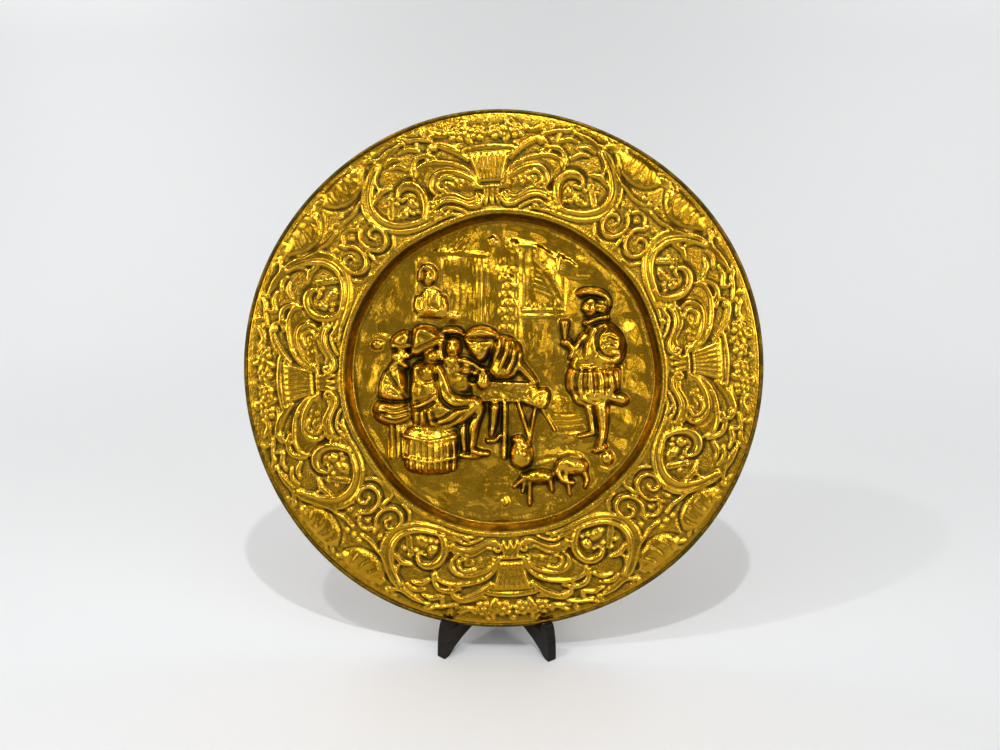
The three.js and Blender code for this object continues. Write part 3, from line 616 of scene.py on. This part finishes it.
def urn(sheet):
    """Half of a fluted urn with its lip, foot, pendant leaves and the flowers in it."""
    field(sheet, [(-20, 212), (20, 212), (13, 181), (-13, 181)], 2.8, 6, rounded=False)
    for step in range(4):
        w = 5.2 * step
        ridge(sheet, [(w, 206), (w * 0.66, 184)], 2.5, 1.7, 4.4, 1)
    beads(sheet, [(0, 209.3), (19, 209.3)], 3.8, 1.5, 4, 1)
    strap(sheet, [(0, 215), (22, 214)], 2.6, 2.6, 4.4)
    ridge(sheet, [(0, 178), (13, 178), (18, 181)], 2.4, 2.2, 3.8)
    for w in (0, 5.5):
        leaf(sheet, [(w, 175), (w * 1.5, 162)], 3, 1.2, 3.8, middle=3.4)
    for w, v in ((8, 229), (25, 230)):
        dome(sheet, w, v, 3, 3, 4.2)
        for step in range(6):
            turn = np.radians(60 * step + 15)
            dome(sheet, w + 5.2 * np.cos(turn), v + 5.2 * np.sin(turn), 2.9, 2.9, 3.4)
    leaf(sheet, [(15, 220), (18, 231), (16, 240)], 1.6, 0.8, 3, middle=3)
    leaf(sheet, [(24, 219), (31, 220), (38, 225)], 1.4, 0.8, 2.8, middle=2.6)
    leaf(sheet, [(34, 231), (40, 233), (46, 239)], 1.4, 0.8, 3, middle=2.8)


def bracket(sheet):
    """The S-shaped band that runs out from the urn's foot along the well, curled at its start."""
    ridge(sheet, [(15, 165), (24, 164), (33, 168), (42, 173.5), (52, 176), (66, 174)], 5, 4.6, 2.6)
    ridge(sheet, [(11, 166), (17, 161.5), (27, 162.5), (36, 167.5), (45, 172), (56, 173.5), (66, 171)],
          2, 1.4, 4.2, 1, middle=2.6)
    ridge(sheet, [(21, 169.5), (28, 169), (35, 173.5), (42, 178), (52, 179.6), (63, 179)], 1.2, 1.2, 3.4, 1)
    ridge(sheet, [(11, 166), (11.5, 170), (15, 172), (18, 170), (16.5, 168)], 1.8, 1.3, 4)
    cut(sheet, [(19, 167), (28, 166.5), (36, 171), (45, 176.2), (55, 177.4), (64, 176)], 0.8, 0.9)
    ridge(sheet, [(34, 159.5), (43, 164.5), (54, 168), (64, 165.5), (72, 162.5)], 1.4, 1, 3.2, middle=2)
    dome(sheet, 53, 163, 6, 2.2, 3.8)
    cut(sheet, [(36, 158.5), (45, 162), (58, 164.5), (70, 160.5)], 0.7, 0.8)


def plume(sheet):
    """The acanthus leaf beside the urn's foot: three ribs that fold over into a curled tip."""
    field(sheet, [(8, 182), (17, 195), (27, 204), (40, 210), (56, 213), (69, 212), (74, 204), (70, 196),
                  (63, 184), (54, 181), (40, 180), (24, 177), (13, 176)], 1.5, 4)
    ridge(sheet, [(13, 184), (21, 195), (32, 203.5), (45, 208.5), (58, 211.5), (69, 209.5), (74.5, 202)],
          1.6, 1.4, 3.4, 0.8, middle=2.8)
    dome(sheet, 30, 201.5, 5.5, 3.2, 4.2, turn=40)
    ridge(sheet, [(13, 180), (24, 190.5), (36, 197), (49, 199.5), (58, 195.5), (61.5, 187), (58, 181.5)],
          2.2, 1.8, 3.8, 0.8, middle=3.6)
    cut(sheet, [(20, 190.5), (30, 197), (43, 201.6), (52, 203), (61, 199), (65.5, 190), (63, 182)], 0.8, 1)
    cut(sheet, [(33, 206), (45, 212), (58, 214.8), (70, 213), (77, 204)], 0.8, 0.9)
    ridge(sheet, [(38, 191.5), (47, 194.5), (53.5, 191), (53.5, 185), (49, 182.5)], 2, 2.2, 4.4, 1)
    cut(sheet, [(42, 190), (48, 191), (50, 187)], 0.8, 1)
    for w, v in ((24, 184), (30, 186), (36, 187.5), (33, 182), (41, 185), (44, 188)):
        dome(sheet, w, v, 2.3, 1.8, 2.9)


def upper_leaves(sheet):
    """Two leaves with hooked tips above the plume, and thin leaves along the rim."""
    leaf(sheet, [(20, 205), (27, 213), (35, 219.5), (44, 224.5), (51, 223.5), (54, 218)],
         2.2, 1.8, 3.8, middle=3.6)
    dome(sheet, 47.5, 222, 3.6, 3, 4.4)
    leaf(sheet, [(48, 213.5), (57, 218.5), (66, 218.5), (72, 212.5), (75, 206)], 1.8, 1.4, 3.6, middle=2.8)
    dome(sheet, 56.5, 214.5, 2.2, 1.6, 3.6)
    ridge(sheet, [(48, 229.5), (58, 234.5), (66, 237), (71, 242)], 1.6, 1.2, 3.4, middle=2.2)
    ridge(sheet, [(72, 236.5), (86, 236), (96, 233.5), (104, 236.5)], 1.6, 1.4, 3.2, middle=2)
    cut(sheet, [(72, 239), (87, 238.6), (97, 236), (103, 240)], 0.7, 0.9)
    leaf(sheet, [(62, 225), (70, 230), (78, 229.5)], 1.6, 1.2, 3.2, middle=2.4)
    leaf(sheet, [(77, 213), (83, 219.5), (90, 221)], 1.8, 1.4, 3.4, middle=2.6)
    leaf(sheet, [(79, 223.5), (87, 227.5), (95, 225)], 1.4, 1, 3, middle=2.2)


def great_scroll(sheet):
    """The broad C scroll: a wide band that leaves the bracket, sweeps round beside the corner
    and runs back under the rim; a bold rib inside, a channel, and a thin lip outside."""
    ridge(sheet, [(60, 166), (78, 163.5), (92, 164), (104, 166.5), (115, 171.5), (124, 179), (128.5, 188),
                  (128.5, 198), (124, 208), (115, 218), (104, 227), (92, 232.5), (78, 235)],
          3, 2, 2.6, middle=8)
    ridge(sheet, [(80, 166), (92, 167), (103, 169), (113, 173.5), (120.5, 180.5), (124, 189), (123.5, 199),
                  (118.5, 208.5), (110.5, 218), (100, 226.5)], 1.6, 1.4, 4.6, 1, middle=3.9)
    ridge(sheet, [(46, 160), (62, 160.5), (80, 160), (94, 161), (107, 164), (119, 170), (128.5, 178.5),
                  (133.6, 189), (133.6, 200), (128.5, 210), (119, 219.5), (108, 228), (95, 234)],
          1.1, 1.1, 3.2, 0.5, middle=1.5)
    cut(sheet, [(78, 162), (94, 163.2), (108, 166.6), (120, 173), (127.6, 182), (129.6, 192), (127, 203),
                (119, 213.5), (108, 223.5), (97, 230)], 0.9, 1.1)
    cut(sheet, [(48, 157.6), (64, 157.8), (82, 157.4), (96, 158.4), (110, 161.8), (122, 168), (132, 177.5),
                (137, 189), (137, 201), (131.5, 212.5), (121.5, 222.5), (109, 231.5)], 0.8, 0.9)
    ridge(sheet, [(100, 228), (106.5, 220), (109, 213), (106.5, 206.5)], 1.8, 1.2, 3.8, 1)
    leaf(sheet, [(99, 205.5), (108, 207.5), (119, 203)], 1.4, 1.2, 3.6, middle=3)


def inner_curl(sheet):
    """The second band: it leaves the great scroll at its foot, climbs on the urn's side and
    curls over a flower, whose stalk crosses to the great scroll."""
    ridge(sheet, [(90, 165), (80, 169), (73.5, 177), (71.5, 187), (75.5, 196), (83.5, 200.5), (92, 199.5),
                  (96.5, 194.5)], 2.4, 2.4, 4.2, middle=5.6)
    ridge(sheet, [(69, 183), (70.5, 192), (76, 199.5), (85, 203.2), (93, 201.4)], 1, 1, 4.6, 2)
    cut(sheet, [(64.6, 180), (66.6, 190), (72, 199.6), (80.5, 205.6), (90.5, 206), (98, 201.5)], 0.9, 1.2)
    cut(sheet, [(91, 169), (83, 172.5), (78, 179), (77, 187), (80.5, 193), (87, 195.5)], 0.8, 1.1)
    ridge(sheet, [(96.5, 194.5), (94, 190.5), (89, 191)], 2, 1.6, 4)
    dome(sheet, 84.5, 184, 5.4, 6, 3.2)
    dome(sheet, 99, 179.5, 9, 5.4, 3, turn=-14)
    for w, v in ((90, 176), (84, 174.5), (100, 190.5), (104, 198), (112, 194)):
        dome(sheet, w, v, 2.6, 2.2, 3.4)
    for w in (94, 99, 104):
        cut(sheet, [(w, 184), (w + 2, 175)], 0.7, 0.9)
    for shift in (0, 4):
        ridge(sheet, [(101 + shift, 196), (108 + shift, 188), (114 + shift, 180.5)], 1.1, 1, 3.2)
    for w, v in ((62, 175.5), (66.5, 177.5), (71, 174.5)):
        dome(sheet, w, v, 2.2, 2, 3.6)
    leaf(sheet, [(66, 168), (74, 169.5), (82, 167)], 1.2, 1, 3, middle=2.2)


def meeting(sheet):
    """Half of what fills the gap between two urns: a full leaf that hangs from the rim over a
    chased line, a branch that ends in a drop, and one of the two volutes."""
    field(sheet, [(112, 233), (119, 222), (130, 217.5), (142, 218), (151, 223.5), (156, 232), (150, 240),
                  (134, 241.5), (118, 240)], 3, 9)
    cut(sheet, [(110, 231), (118, 220.5), (130, 215.4), (142, 215.8), (151.5, 221.5), (157, 231)], 1, 1.6)
    for start, end in (((121, 226), (126, 238)), ((131, 222), (134, 237)), ((142, 223), (142, 236)),
                       ((150, 229), (147, 239))):
        middle = ((start[0] + end[0]) / 2 + 1.4, (start[1] + end[1]) / 2)
        fold(sheet, [start, middle, end], 2.4, 1.4, 0.5)
        cut(sheet, [(start[0] + 3.6, start[1]), (middle[0] + 3.4, middle[1]), (end[0] + 2.6, end[1])],
            0.7, 0.6)
    ridge(sheet, [(124, 213), (133, 210.5), (143, 207.5), (153, 208)], 1.4, 1.8, 3.2, middle=2)
    dome(sheet, 147.4, 195, 2.4, 5.6, 3.8, turn=8)
    dome(sheet, 139.5, 198, 2, 3.6, 2.6, turn=20)
    ridge(sheet, [(162, 202), (155, 201), (151, 196)], 1.8, 2, 3)
    ridge(sheet, [(150.5, 191), (155, 185), (155.5, 176.5), (151.5, 169.5), (144, 166), (136, 167.5),
                  (131.4, 173), (131.6, 180), (135.6, 185), (141.4, 185.6), (145.4, 181.6), (143.4, 177.6)],
          2.4, 1.8, 3.8, middle=3.2)
    cut(sheet, [(153, 193), (159, 186), (159.4, 176), (154.4, 166.5), (145, 162), (134.5, 163.6),
                (127.6, 170.6)], 0.8, 1)
    for w, v in ((159.4, 213), (159.4, 193), (152, 214), (135, 191), (159.4, 163)):
        dome(sheet, w, v, 2.6, 2.6, 3)
    leaf(sheet, [(159.4, 174), (159.4, 158)], 2, 1, 3, middle=2.6)
    leaf(sheet, [(124, 168), (131, 160.5), (142, 158.4)], 1, 1, 2.6, middle=1.8)


def sprigs(sheet):
    """The small leaves and seeds that fill the ground under the rim, and the beaded well edge."""
    chance = np.random.default_rng(7)
    for step in range(24):
        w = 6.7 * step + chance.uniform(-1.5, 1.5)
        v = chance.uniform(229, 240)
        turn = chance.uniform(0.3, 2.8)
        reach = chance.uniform(2, 4)
        tip = np.array([np.cos(turn), np.sin(turn)]) * reach
        ridge(sheet, [(w, v) - tip, (w, v) + tip], 1.2, 1, chance.uniform(1.6, 2.8), middle=2)
    beads(sheet, [(0, 155.6), (80, 155.6), (160, 155.6)], 2.7, 1.3, 1.8)


def border_sheet():
    """Half a unit of the band, with a chased line left round what stands up."""
    sheet = blank_sheet(-6, unit_length + 6, 150, 250)
    for part in (sprigs, plume, bracket, great_scroll, inner_curl, upper_leaves, meeting, urn):
        part(sheet)
    smooth = softened(sheet.height, 0.6)
    sheet.height = 0.85 * smooth + 0.3 * (smooth - softened(smooth, 2.6))
    # The hollow mask: patina in the hollows and painted shade in the outlines round the work.
    sheet.hollow = softened(sheet.height, 2.0) - sheet.height
    sheet.back = back_of(sheet.height, border_back_cells)
    return sheet


# The two pieces of mesh. Each is a closed skin of the sheet's own thickness; its faces look outward.
def add_mesh(name, points, faces, masks):
    """A smooth mesh object of the points and faces, with a number for each point under each name."""
    mesh = bpy.data.meshes.new(name)
    mesh.vertices.add(len(points))
    mesh.vertices.foreach_set("co", points.astype(np.float32).ravel())
    corners = np.concatenate([group.ravel() for group in faces])
    sizes = np.concatenate([np.full(len(group), group.shape[1]) for group in faces])
    mesh.loops.add(len(corners))
    mesh.loops.foreach_set("vertex_index", corners.astype(np.int32))
    mesh.polygons.add(len(sizes))
    mesh.polygons.foreach_set("loop_start", (np.cumsum(sizes) - sizes).astype(np.int32))
    mesh.polygons.foreach_set("loop_total", sizes.astype(np.int32))
    mesh.update(calc_edges=True)
    mesh.polygons.foreach_set("use_smooth", np.ones(len(sizes), bool))
    for mask, values in masks.items():
        mesh.attributes.new(mask, "FLOAT", "POINT").data.foreach_set("value", values.astype(np.float32))
    piece = bpy.data.objects.new(name, mesh)
    bpy.context.scene.collection.objects.link(piece)
    return piece


def disc_of_squares(cells):
    """A square grid pressed into a disc of radius 1: each square ring becomes a circle, and a
    point's share of its side becomes its share of a quarter turn."""
    line = np.linspace(-1, 1, cells + 1)
    across, up = np.meshgrid(line, line)
    reach = np.maximum(np.abs(across), np.abs(up))
    sideways = np.abs(across) >= np.abs(up)
    safe = np.where(reach == 0, 1, reach)
    angle = np.where(sideways, np.pi / 4 * up / safe * np.sign(across) + np.pi * (across < 0),
                     np.pi / 2 - np.pi / 4 * across / safe * np.sign(up) + np.pi * (up < 0))
    return reach, angle


def grid_faces(cells, start, turned):
    """The squares of a grid of points numbered row by row from start, turned over where asked."""
    row, column = np.meshgrid(np.arange(cells), np.arange(cells), indexing="ij")
    corner = start + row * (cells + 1) + column
    ring = np.stack([corner, corner + 1, corner + cells + 2, corner + cells + 1], -1).reshape(-1, 4)
    return ring[:, ::-1] if turned else ring


def grid_edge(cells, start):
    """The point numbers round the edge of such a grid, in the order of the angle."""
    side = np.arange(cells)
    wide = cells + 1
    low = start + side
    right = start + side * wide + cells
    high = start + cells * wide + cells - side
    left = start + (cells - side) * wide
    return np.concatenate([low, right, high, left])


tavern = tavern_sheet()
middle_cells = 272
rings_on_floor = 0.9
drawing_size = 1.02
drawing_fade = 6
step_radius = 142
step_height = 0.7
# Painted shade: the well's wall is coloured dark all round, and a dark line runs along its mouth. The back
# takes the front's hollow mask, patina and painted shade, turned over.
wall_painted_shade = 0.6
mouth_painted_shade = 0.7
back_shade_and_tarnish = -0.6


def mouth_wave(angle):
    """The mouth of the well is not quite round: it strays by three waves."""
    return 0.9 * np.cos(4 * angle + 0.6) + 0.6 * np.cos(7 * angle + 2) + 0.4 * np.cos(11 * angle)


def middle_depth(reach):
    """The depth of the bare sheet: flat in the well with a faint step near its edge, then a wall
    that leaves the floor softly, as a cosine does, and meets the mouth at a crisp edge."""
    climb = np.clip((reach - floor_radius) / (mouth_radius - floor_radius), 0, 1)
    step = step_height / (1 + np.exp(-(reach - step_radius) / 0.8))
    return (well_depth - step) * np.cos(np.pi / 2 * climb**1.1)


def make_middle():
    """The sunk middle, a little off the plate's own middle: a fine grid in front and a grid with
    squares twice as wide behind. A tenth of the grid's rings lie on the wall."""
    share, angle = disc_of_squares(middle_cells)
    reach = np.interp(share, (0, rings_on_floor, 1), (0, floor_radius - 1, mouth_radius))
    stray = 1 + mouth_wave(angle) * (reach / mouth_radius) ** 4 / mouth_radius
    x = well_across + reach * stray * np.cos(angle)
    up = well_up + reach * stray * np.sin(angle)
    fade = np.clip((floor_radius - 1 - reach) / drawing_fade, 0, 1)
    drawn = (x / drawing_size, up / drawing_size)
    height = sample(tavern, tavern.height, *drawn) * fade
    hollow = sample(tavern, tavern.hollow, *drawn) * fade
    raised_back = sample(tavern, tavern.back, *drawn) * fade
    front = in_frame(x, up, middle_depth(reach) - height).reshape(-1, 3)
    coarse = (slice(None, None, 2), slice(None, None, 2))
    back_cells = middle_cells // 2
    back_depth = middle_depth(reach[coarse]) - raised_back[coarse] + sheet_thickness
    back = in_frame(x[coarse], up[coarse], back_depth).reshape(-1, 3)
    start = len(front)
    outer = grid_edge(middle_cells, 0)
    inner = np.repeat(grid_edge(back_cells, start), 2)
    following = np.roll(inner, -1)
    odd = np.arange(len(outer)) % 2 == 1
    lip = np.stack([outer, inner, np.roll(outer, -1)], -1)
    close = np.stack([np.roll(outer, -1), inner, following], -1)[odd]
    # Painted shade on the wall of the well and along its mouth.
    wall = wall_painted_shade * ((reach > floor_radius - 1) & (reach < mouth_radius - 0.5))
    wall = wall + mouth_painted_shade * np.exp(-((reach - mouth_radius + 1) / 1.2) ** 2)
    masks = {
        "hollow": np.concatenate([(hollow + wall).ravel(), back_shade_and_tarnish * hollow[coarse].ravel()]),
        "ground": np.zeros(len(front) + len(back)),
    }
    faces = [grid_faces(middle_cells, 0, False), grid_faces(back_cells, start, True), lip, close]
    return add_mesh("plate_middle", np.vstack([front, back]), faces, masks)


border = border_sheet()
border_columns = 880
front_rows = 72
back_rows = 26
urn_turn = np.radians(3.7)
band_radius = 243.2
groove_steps = np.array([1.2, 2, 2.5, 3])
groove_depth = 0.9
groove_half_width = 0.5
groove_darkening = 1.4
rim_inset = 1.1
bead_radius = 1.9
bead_set_back = 0.5
bead_turn = np.radians(np.linspace(200, 430, 9))
rolled_edge_darkening = 1.1


def rim_radius(angle):
    """The edge of the hand-worked circle, out of true by three slow waves."""
    waves = 0.5 * np.cos(2 * angle - 0.3) + 0.6 * np.cos(3 * angle) + 0.6 * np.cos(5 * angle - 2.3)
    return plate_radius - rim_inset + waves


def on_drawing(angle, v):
    """The places in the drawing of points of the band: it is folded at each urn and at the middle
    of each gap, and bent by two waves so that no two stretches are quite alike."""
    turn = np.mod((np.pi / 2 + urn_turn - angle) / (np.pi / 4), 2)
    fold = np.where(turn > 1, 2 - turn, turn) * unit_length
    w, v = np.broadcast_arrays(fold, v)
    bend = 1.1 * np.sin(5 * angle + 0.04 * v) + 0.7 * np.sin(11 * angle + 1.3 - 0.07 * v)
    return np.abs(w + bend * np.sin(np.pi * w / unit_length)), v


def on_band(angle, v, deep):
    """Points of the band in the frame: towards its inner edge it takes on the mouth's own middle
    and waves."""
    share = (band_radius - v) / (band_radius - mouth_radius)
    reach = v + mouth_wave(angle) * np.clip(share, 0, 1) ** 2
    x = reach * np.cos(angle) + well_across * share
    up = reach * np.sin(angle) + well_up * share
    return in_frame(x, up, deep)


def band_fade(v):
    """One over the band, and down to nothing at its two edges."""
    return np.clip((band_radius + 0.5 - v) / 3, 0, 1) * np.clip((v - mouth_radius) / 2, 0, 1)


def make_border():
    """The border: rows of points from the mouth over the raised band, a groove and the rolled
    edge, and back to the mouth along the hollow side."""
    angle = np.linspace(0, 2 * np.pi, border_columns, endpoint=False)[None, :]
    rows = np.concatenate([np.linspace(mouth_radius, band_radius, front_rows), band_radius + groove_steps])
    w, v = on_drawing(angle, rows[:, None])
    height = sample(border, border.height, w, v) * band_fade(v)
    hollow = sample(border, border.hollow, w, v) * band_fade(v)
    ground = np.clip(1 - height / 1.2, 0, 1) * band_fade(v)
    groove = np.exp(-((v - band_radius - groove_steps[-1]) / groove_half_width) ** 2) * groove_depth
    front = on_band(angle, v, groove - height)
    bead = rim_radius(angle) + bead_radius * (np.cos(bead_turn[:, None]) - 1)
    bead_depth = bead_set_back + bead_radius * np.sin(bead_turn[:, None])
    edge = in_frame(bead * np.cos(angle), bead * np.sin(angle), bead_depth)
    back_w, back_v = on_drawing(angle, np.linspace(band_radius, mouth_radius, back_rows)[:, None])
    raised_back = sample(border, border.back, back_w, back_v) * band_fade(back_v)
    back_hollow = sample(border, border.hollow, back_w, back_v) * band_fade(back_v)
    back = on_band(angle, back_v, sheet_thickness - raised_back)
    points = np.concatenate([front, edge, back])
    number = np.arange(len(points) * border_columns).reshape(len(points), border_columns)
    following = np.roll(number, -1, 1)
    above, beside = np.roll(number, -1, 0), np.roll(following, -1, 0)
    quads = np.stack([number, above, beside, following], -1).reshape(-1, 4)
    # The groove is coloured darker, and the rolled edge is coloured darker all round.
    darkened_front = hollow + groove_darkening * groove
    on_edge = np.full(edge.shape[:2], rolled_edge_darkening)
    masks = {
        "hollow": np.concatenate([darkened_front, on_edge, back_shade_and_tarnish * back_hollow]).ravel(),
        "ground": np.concatenate([ground, np.zeros(edge.shape[:2]), np.zeros(back_v.shape)]).ravel(),
    }
    return add_mesh("plate_border", points.reshape(-1, 3), [quads], masks)


def add_node(tree, kind, inputs=None, **settings):
    """A node of the kind with its settings; each input gets a value or is joined to an output."""
    node = tree.nodes.new(kind)
    for name, value in settings.items():
        setattr(node, name, value)
    for name, value in (inputs or {}).items():
        if isinstance(value, bpy.types.NodeSocket):
            tree.links.new(value, node.inputs[name])
        else:
            node.inputs[name].default_value = value
    return node


def new_material(name, colour):
    """A node material of the colour, with its Principled shader and the Object coordinates."""
    material = bpy.data.materials.new(name)
    material.use_nodes = True
    material.diffuse_color = colour
    tree = material.node_tree
    shader = tree.nodes["Principled BSDF"]
    place = add_node(tree, "ShaderNodeTexCoord").outputs["Object"]
    return material, tree, shader, place


def maths(tree, operation, *values, clamp=False):
    """What a Math node makes of the values."""
    inputs = dict(enumerate(values))
    return add_node(tree, "ShaderNodeMath", inputs, operation=operation, use_clamp=clamp).outputs[0]


def laid_out(tree, value, low, high, start=0.0, end=1.0):
    """The value, which lies from low to high, laid out from start to end and held between them."""
    inputs = {"Value": value, "From Min": low, "From Max": high, "To Min": start, "To Max": end}
    return add_node(tree, "ShaderNodeMapRange", inputs).outputs[0]


def noise(tree, place, scale, detail, distortion=0.0):
    """Soft random clouds, so many to the metre."""
    inputs = {"Vector": place, "Scale": scale, "Detail": detail, "Distortion": distortion}
    return add_node(tree, "ShaderNodeTexNoise", inputs).outputs["Fac"]


def blend(tree, share, first, second):
    """The first colour, with the second laid over it by the share."""
    inputs = {"Factor": share, "A": first, "B": second}
    return add_node(tree, "ShaderNodeMix", inputs, data_type="RGBA").outputs["Result"]


def bump(tree, height, strength, distance, **below):
    """A surface normal bent by the height, over the one below where there is one."""
    inputs = {"Height": height, "Strength": strength, "Distance": distance, **below}
    return add_node(tree, "ShaderNodeBump", inputs).outputs["Normal"]


# The dark colour of patina and of painted shade.
tarnish_and_shade = (0.06, 0.042, 0.006, 1)
dull_gold = (0.42, 0.217, 0.010, 1)
bright_gold = (0.74, 0.42, 0.035, 1)
ground_tarnish = 0.42
stain_spread = 1.1
cloud_spread = 1.6
darkening_start = 1.45
darkening_full = 2.6


def brass():
    """Yellow metal: dark patina lies in the hollows and on the border's ground, painted shade
    darkens the outlines, steep sides, the well's wall and its mouth, the groove and the rolled
    edge are coloured darker, the ridges are rubbed bright, and small hammer and punch marks cover it."""
    material, tree, shader, place = new_material("embossed_brass", dull_gold)
    hollow = add_node(tree, "ShaderNodeAttribute", attribute_name="hollow").outputs["Fac"]
    ground = add_node(tree, "ShaderNodeAttribute", attribute_name="ground").outputs["Fac"]
    clouds = noise(tree, place, scale=45.0, detail=5.0)
    stains = noise(tree, place, scale=260.0, detail=3.0)
    # The hollow mask brings patina and painted shade into the dark mix, along with the ground and random
    # stains.
    low = maths(tree, "MULTIPLY_ADD", ground, ground_tarnish, hollow)
    spotted = maths(tree, "MULTIPLY_ADD", stains, stain_spread, low)
    uneven = maths(tree, "MULTIPLY_ADD", clouds, cloud_spread, spotted)
    dark = laid_out(tree, uneven, darkening_start, darkening_full)
    rubbed = laid_out(tree, hollow, 0.0, -1.6)
    handled = laid_out(tree, clouds, 0.35, 0.7, start=-0.15, end=0.35)
    bright = maths(tree, "ADD", rubbed, handled, clamp=True)
    gold = blend(tree, bright, dull_gold, bright_gold)
    tree.links.new(blend(tree, dark, gold, tarnish_and_shade), shader.inputs["Base Color"])
    rough = laid_out(tree, dark, 0.0, 1.0, start=0.2, end=0.45)
    tree.links.new(rough, shader.inputs["Roughness"])
    shader.inputs["Metallic"].default_value = 1.0
    punched = add_node(tree, "ShaderNodeTexVoronoi", {"Vector": place, "Scale": 520.0}).outputs["Distance"]
    hammered = bump(tree, noise(tree, place, scale=190.0, detail=4.0), strength=0.35, distance=0.0016)
    punched_ground = maths(tree, "MULTIPLY", punched, ground)
    marks = bump(tree, punched_ground, strength=0.35, distance=0.0012, Normal=hammered)
    tree.links.new(marks, shader.inputs["Normal"])
    return material


brass_material = brass()
for piece in (make_middle(), make_border()):
    piece.data.materials.append(brass_material)
    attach(piece, "root")
    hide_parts("plate")


# The easel: two thin boards of dark stained wood, slotted into each other. They keep their
# solids and take a satin wood with its grain along the boards.
stain_dark = (0.003, 0.0022, 0.0015, 1)
stain_light = (0.018, 0.01, 0.005, 1)


def dark_wood():
    """Stained wood: long soft streaks of grain, a little lighter between, under thin polish."""
    material, tree, shader, place = new_material("dark_wood", stain_dark)
    stretched = add_node(tree, "ShaderNodeMapping", {"Vector": place, "Scale": (30.0, 30.0, 420.0)})
    grain = noise(tree, stretched.outputs["Vector"], scale=1.0, detail=6.0, distortion=0.4)
    streaks = laid_out(tree, grain, 0.35, 0.7)
    tree.links.new(blend(tree, streaks, stain_dark, stain_light), shader.inputs["Base Color"])
    shader.inputs["Roughness"].default_value = 0.4
    shader.inputs["Specular IOR Level"].default_value = 0.15
    tree.links.new(bump(tree, grain, strength=0.2, distance=0.0006), shader.inputs["Normal"])
    return material


wood_material = dark_wood()
for name in ("stand_left_board", "stand_right_board"):
    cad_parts[name].data.materials.clear()
    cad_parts[name].data.materials.append(wood_material)


# The sweep: one pale sheet of paper under the stand, which curves up into a wall two metres behind.
paper_colour = (0.85, 0.853, 0.856, 1)
sweep_half_width = 2.4
sweep_front = -2.4
sweep_bend_start = 1.1
sweep_bend_radius = 0.9
sweep_height = 3.2


def make_sweep():
    """The floor runs back, turns up in a quarter circle and goes on as a wall."""
    turn = np.linspace(0, np.pi / 2, 33)
    back = np.concatenate([[sweep_front], sweep_bend_start + sweep_bend_radius * np.sin(turn),
                           [sweep_bend_start + sweep_bend_radius]])
    height = np.concatenate([[0], sweep_bend_radius * (1 - np.cos(turn)), [sweep_height]])
    edges = [np.stack([np.full(len(back), side * sweep_half_width), back, height], -1) for side in (-1, 1)]
    first = np.arange(len(back) - 1)
    quads = np.stack([first, first + len(back), first + len(back) + 1, first + 1], -1)
    sweep = add_mesh("sweep", np.concatenate(edges), [quads], {})
    material, _, shader, _ = new_material("pale_paper", paper_colour)
    shader.inputs["Base Color"].default_value = paper_colour
    shader.inputs["Roughness"].default_value = 0.9
    sweep.data.materials.append(material)


make_sweep()


# The light: two small lamps overhead throw the crisp shadows, and a wide one over the stand fills
# them. Two light the paper behind, three soft ones stand in front and at the sides, and the metal
# alone mirrors four windows. The room's own glow does the rest.
def add_light(name, place, target, width, power, on_floor=True):
    """A square area lamp at the place, turned to the target; the camera does not see it. One that
    is not on the floor shows only as a reflection."""
    lamp = bpy.data.lights.new(name, "AREA")
    lamp.energy = power
    lamp.size = width
    light = bpy.data.objects.new(name, lamp)
    bpy.context.scene.collection.objects.link(light)
    light.visible_camera = False
    light.visible_diffuse = on_floor
    aim(light, place, target)


def aim(thing, place, target):
    """Puts a lamp or camera at the place with its view along the line to the target, upright."""
    place, target = np.array(place, float), np.array(target, float)
    backward = (place - target) / np.linalg.norm(place - target)
    right = np.cross((0, 0, 1), backward)
    right /= np.linalg.norm(right)
    thing.location = place
    thing.rotation_euler = Matrix(np.stack([right, np.cross(backward, right), backward], -1)).to_euler()


add_light("overhead_front", (0.056, -0.56, 1.4), (0, 0.1, 0.1), width=0.03, power=4.8)
add_light("overhead_left", (-0.4, -0.3, 1.05), (0, 0.1, 0.1), width=0.03, power=1.7)
add_light("top", (0, 0, 2.1), (0, 0.1, 0), width=1.4, power=3)
add_light("backdrop_left", (-1.7, 1.0, 2.3), (-2.2, 1.9, 0.4), width=1.2, power=29)
add_light("backdrop_right", (1.7, 1.0, 2.3), (2.2, 1.9, 0.4), width=1.2, power=26)
add_light("broad", (0.2, -2.4, 0.8), (0, 0, 0.3), width=2.2, power=3)
add_light("soft_left", (-1.35, -1.1, 0.85), (0, 0, 0.25), width=1.3, power=9.4)
add_light("soft_right", (1.35, -1.1, 0.85), (0, 0, 0.25), width=1.3, power=9.4)
add_light("window_behind", (0.4, -2.1, 1.15), (0, 0, 0.3), width=0.5, power=2.6, on_floor=False)
add_light("window_left", (-1.7, -1.2, 0.95), (0, 0, 0.3), width=0.6, power=9, on_floor=False)
add_light("window_right", (1.5, -1.2, 0.95), (0, 0, 0.3), width=0.6, power=9, on_floor=False)
add_light("window_high", (0.15, -1.3, 1.9), (0, 0, 0.3), width=0.7, power=12, on_floor=False)

world = bpy.data.worlds.new("room")
bpy.context.scene.world = world
world.use_nodes = True
glow = world.node_tree.nodes["Background"].inputs
glow["Color"].default_value = (0.75, 0.78, 0.8, 1)
glow["Strength"].default_value = 0.22

# The camera stands in front, a little above, so that it looks almost straight at the plate.
camera_place = (0.030, -0.697, 0.448)
camera_target = (0.0, 0.004, 0.2609)
lens_length = 27.2

bpy.context.scene.view_settings.view_transform = "Standard"
camera_data = bpy.data.cameras.new("camera")
camera_data.lens = lens_length
camera = bpy.data.objects.new("camera", camera_data)
bpy.context.scene.collection.objects.link(camera)
aim(camera, camera_place, camera_target)
bpy.context.scene.camera = camera
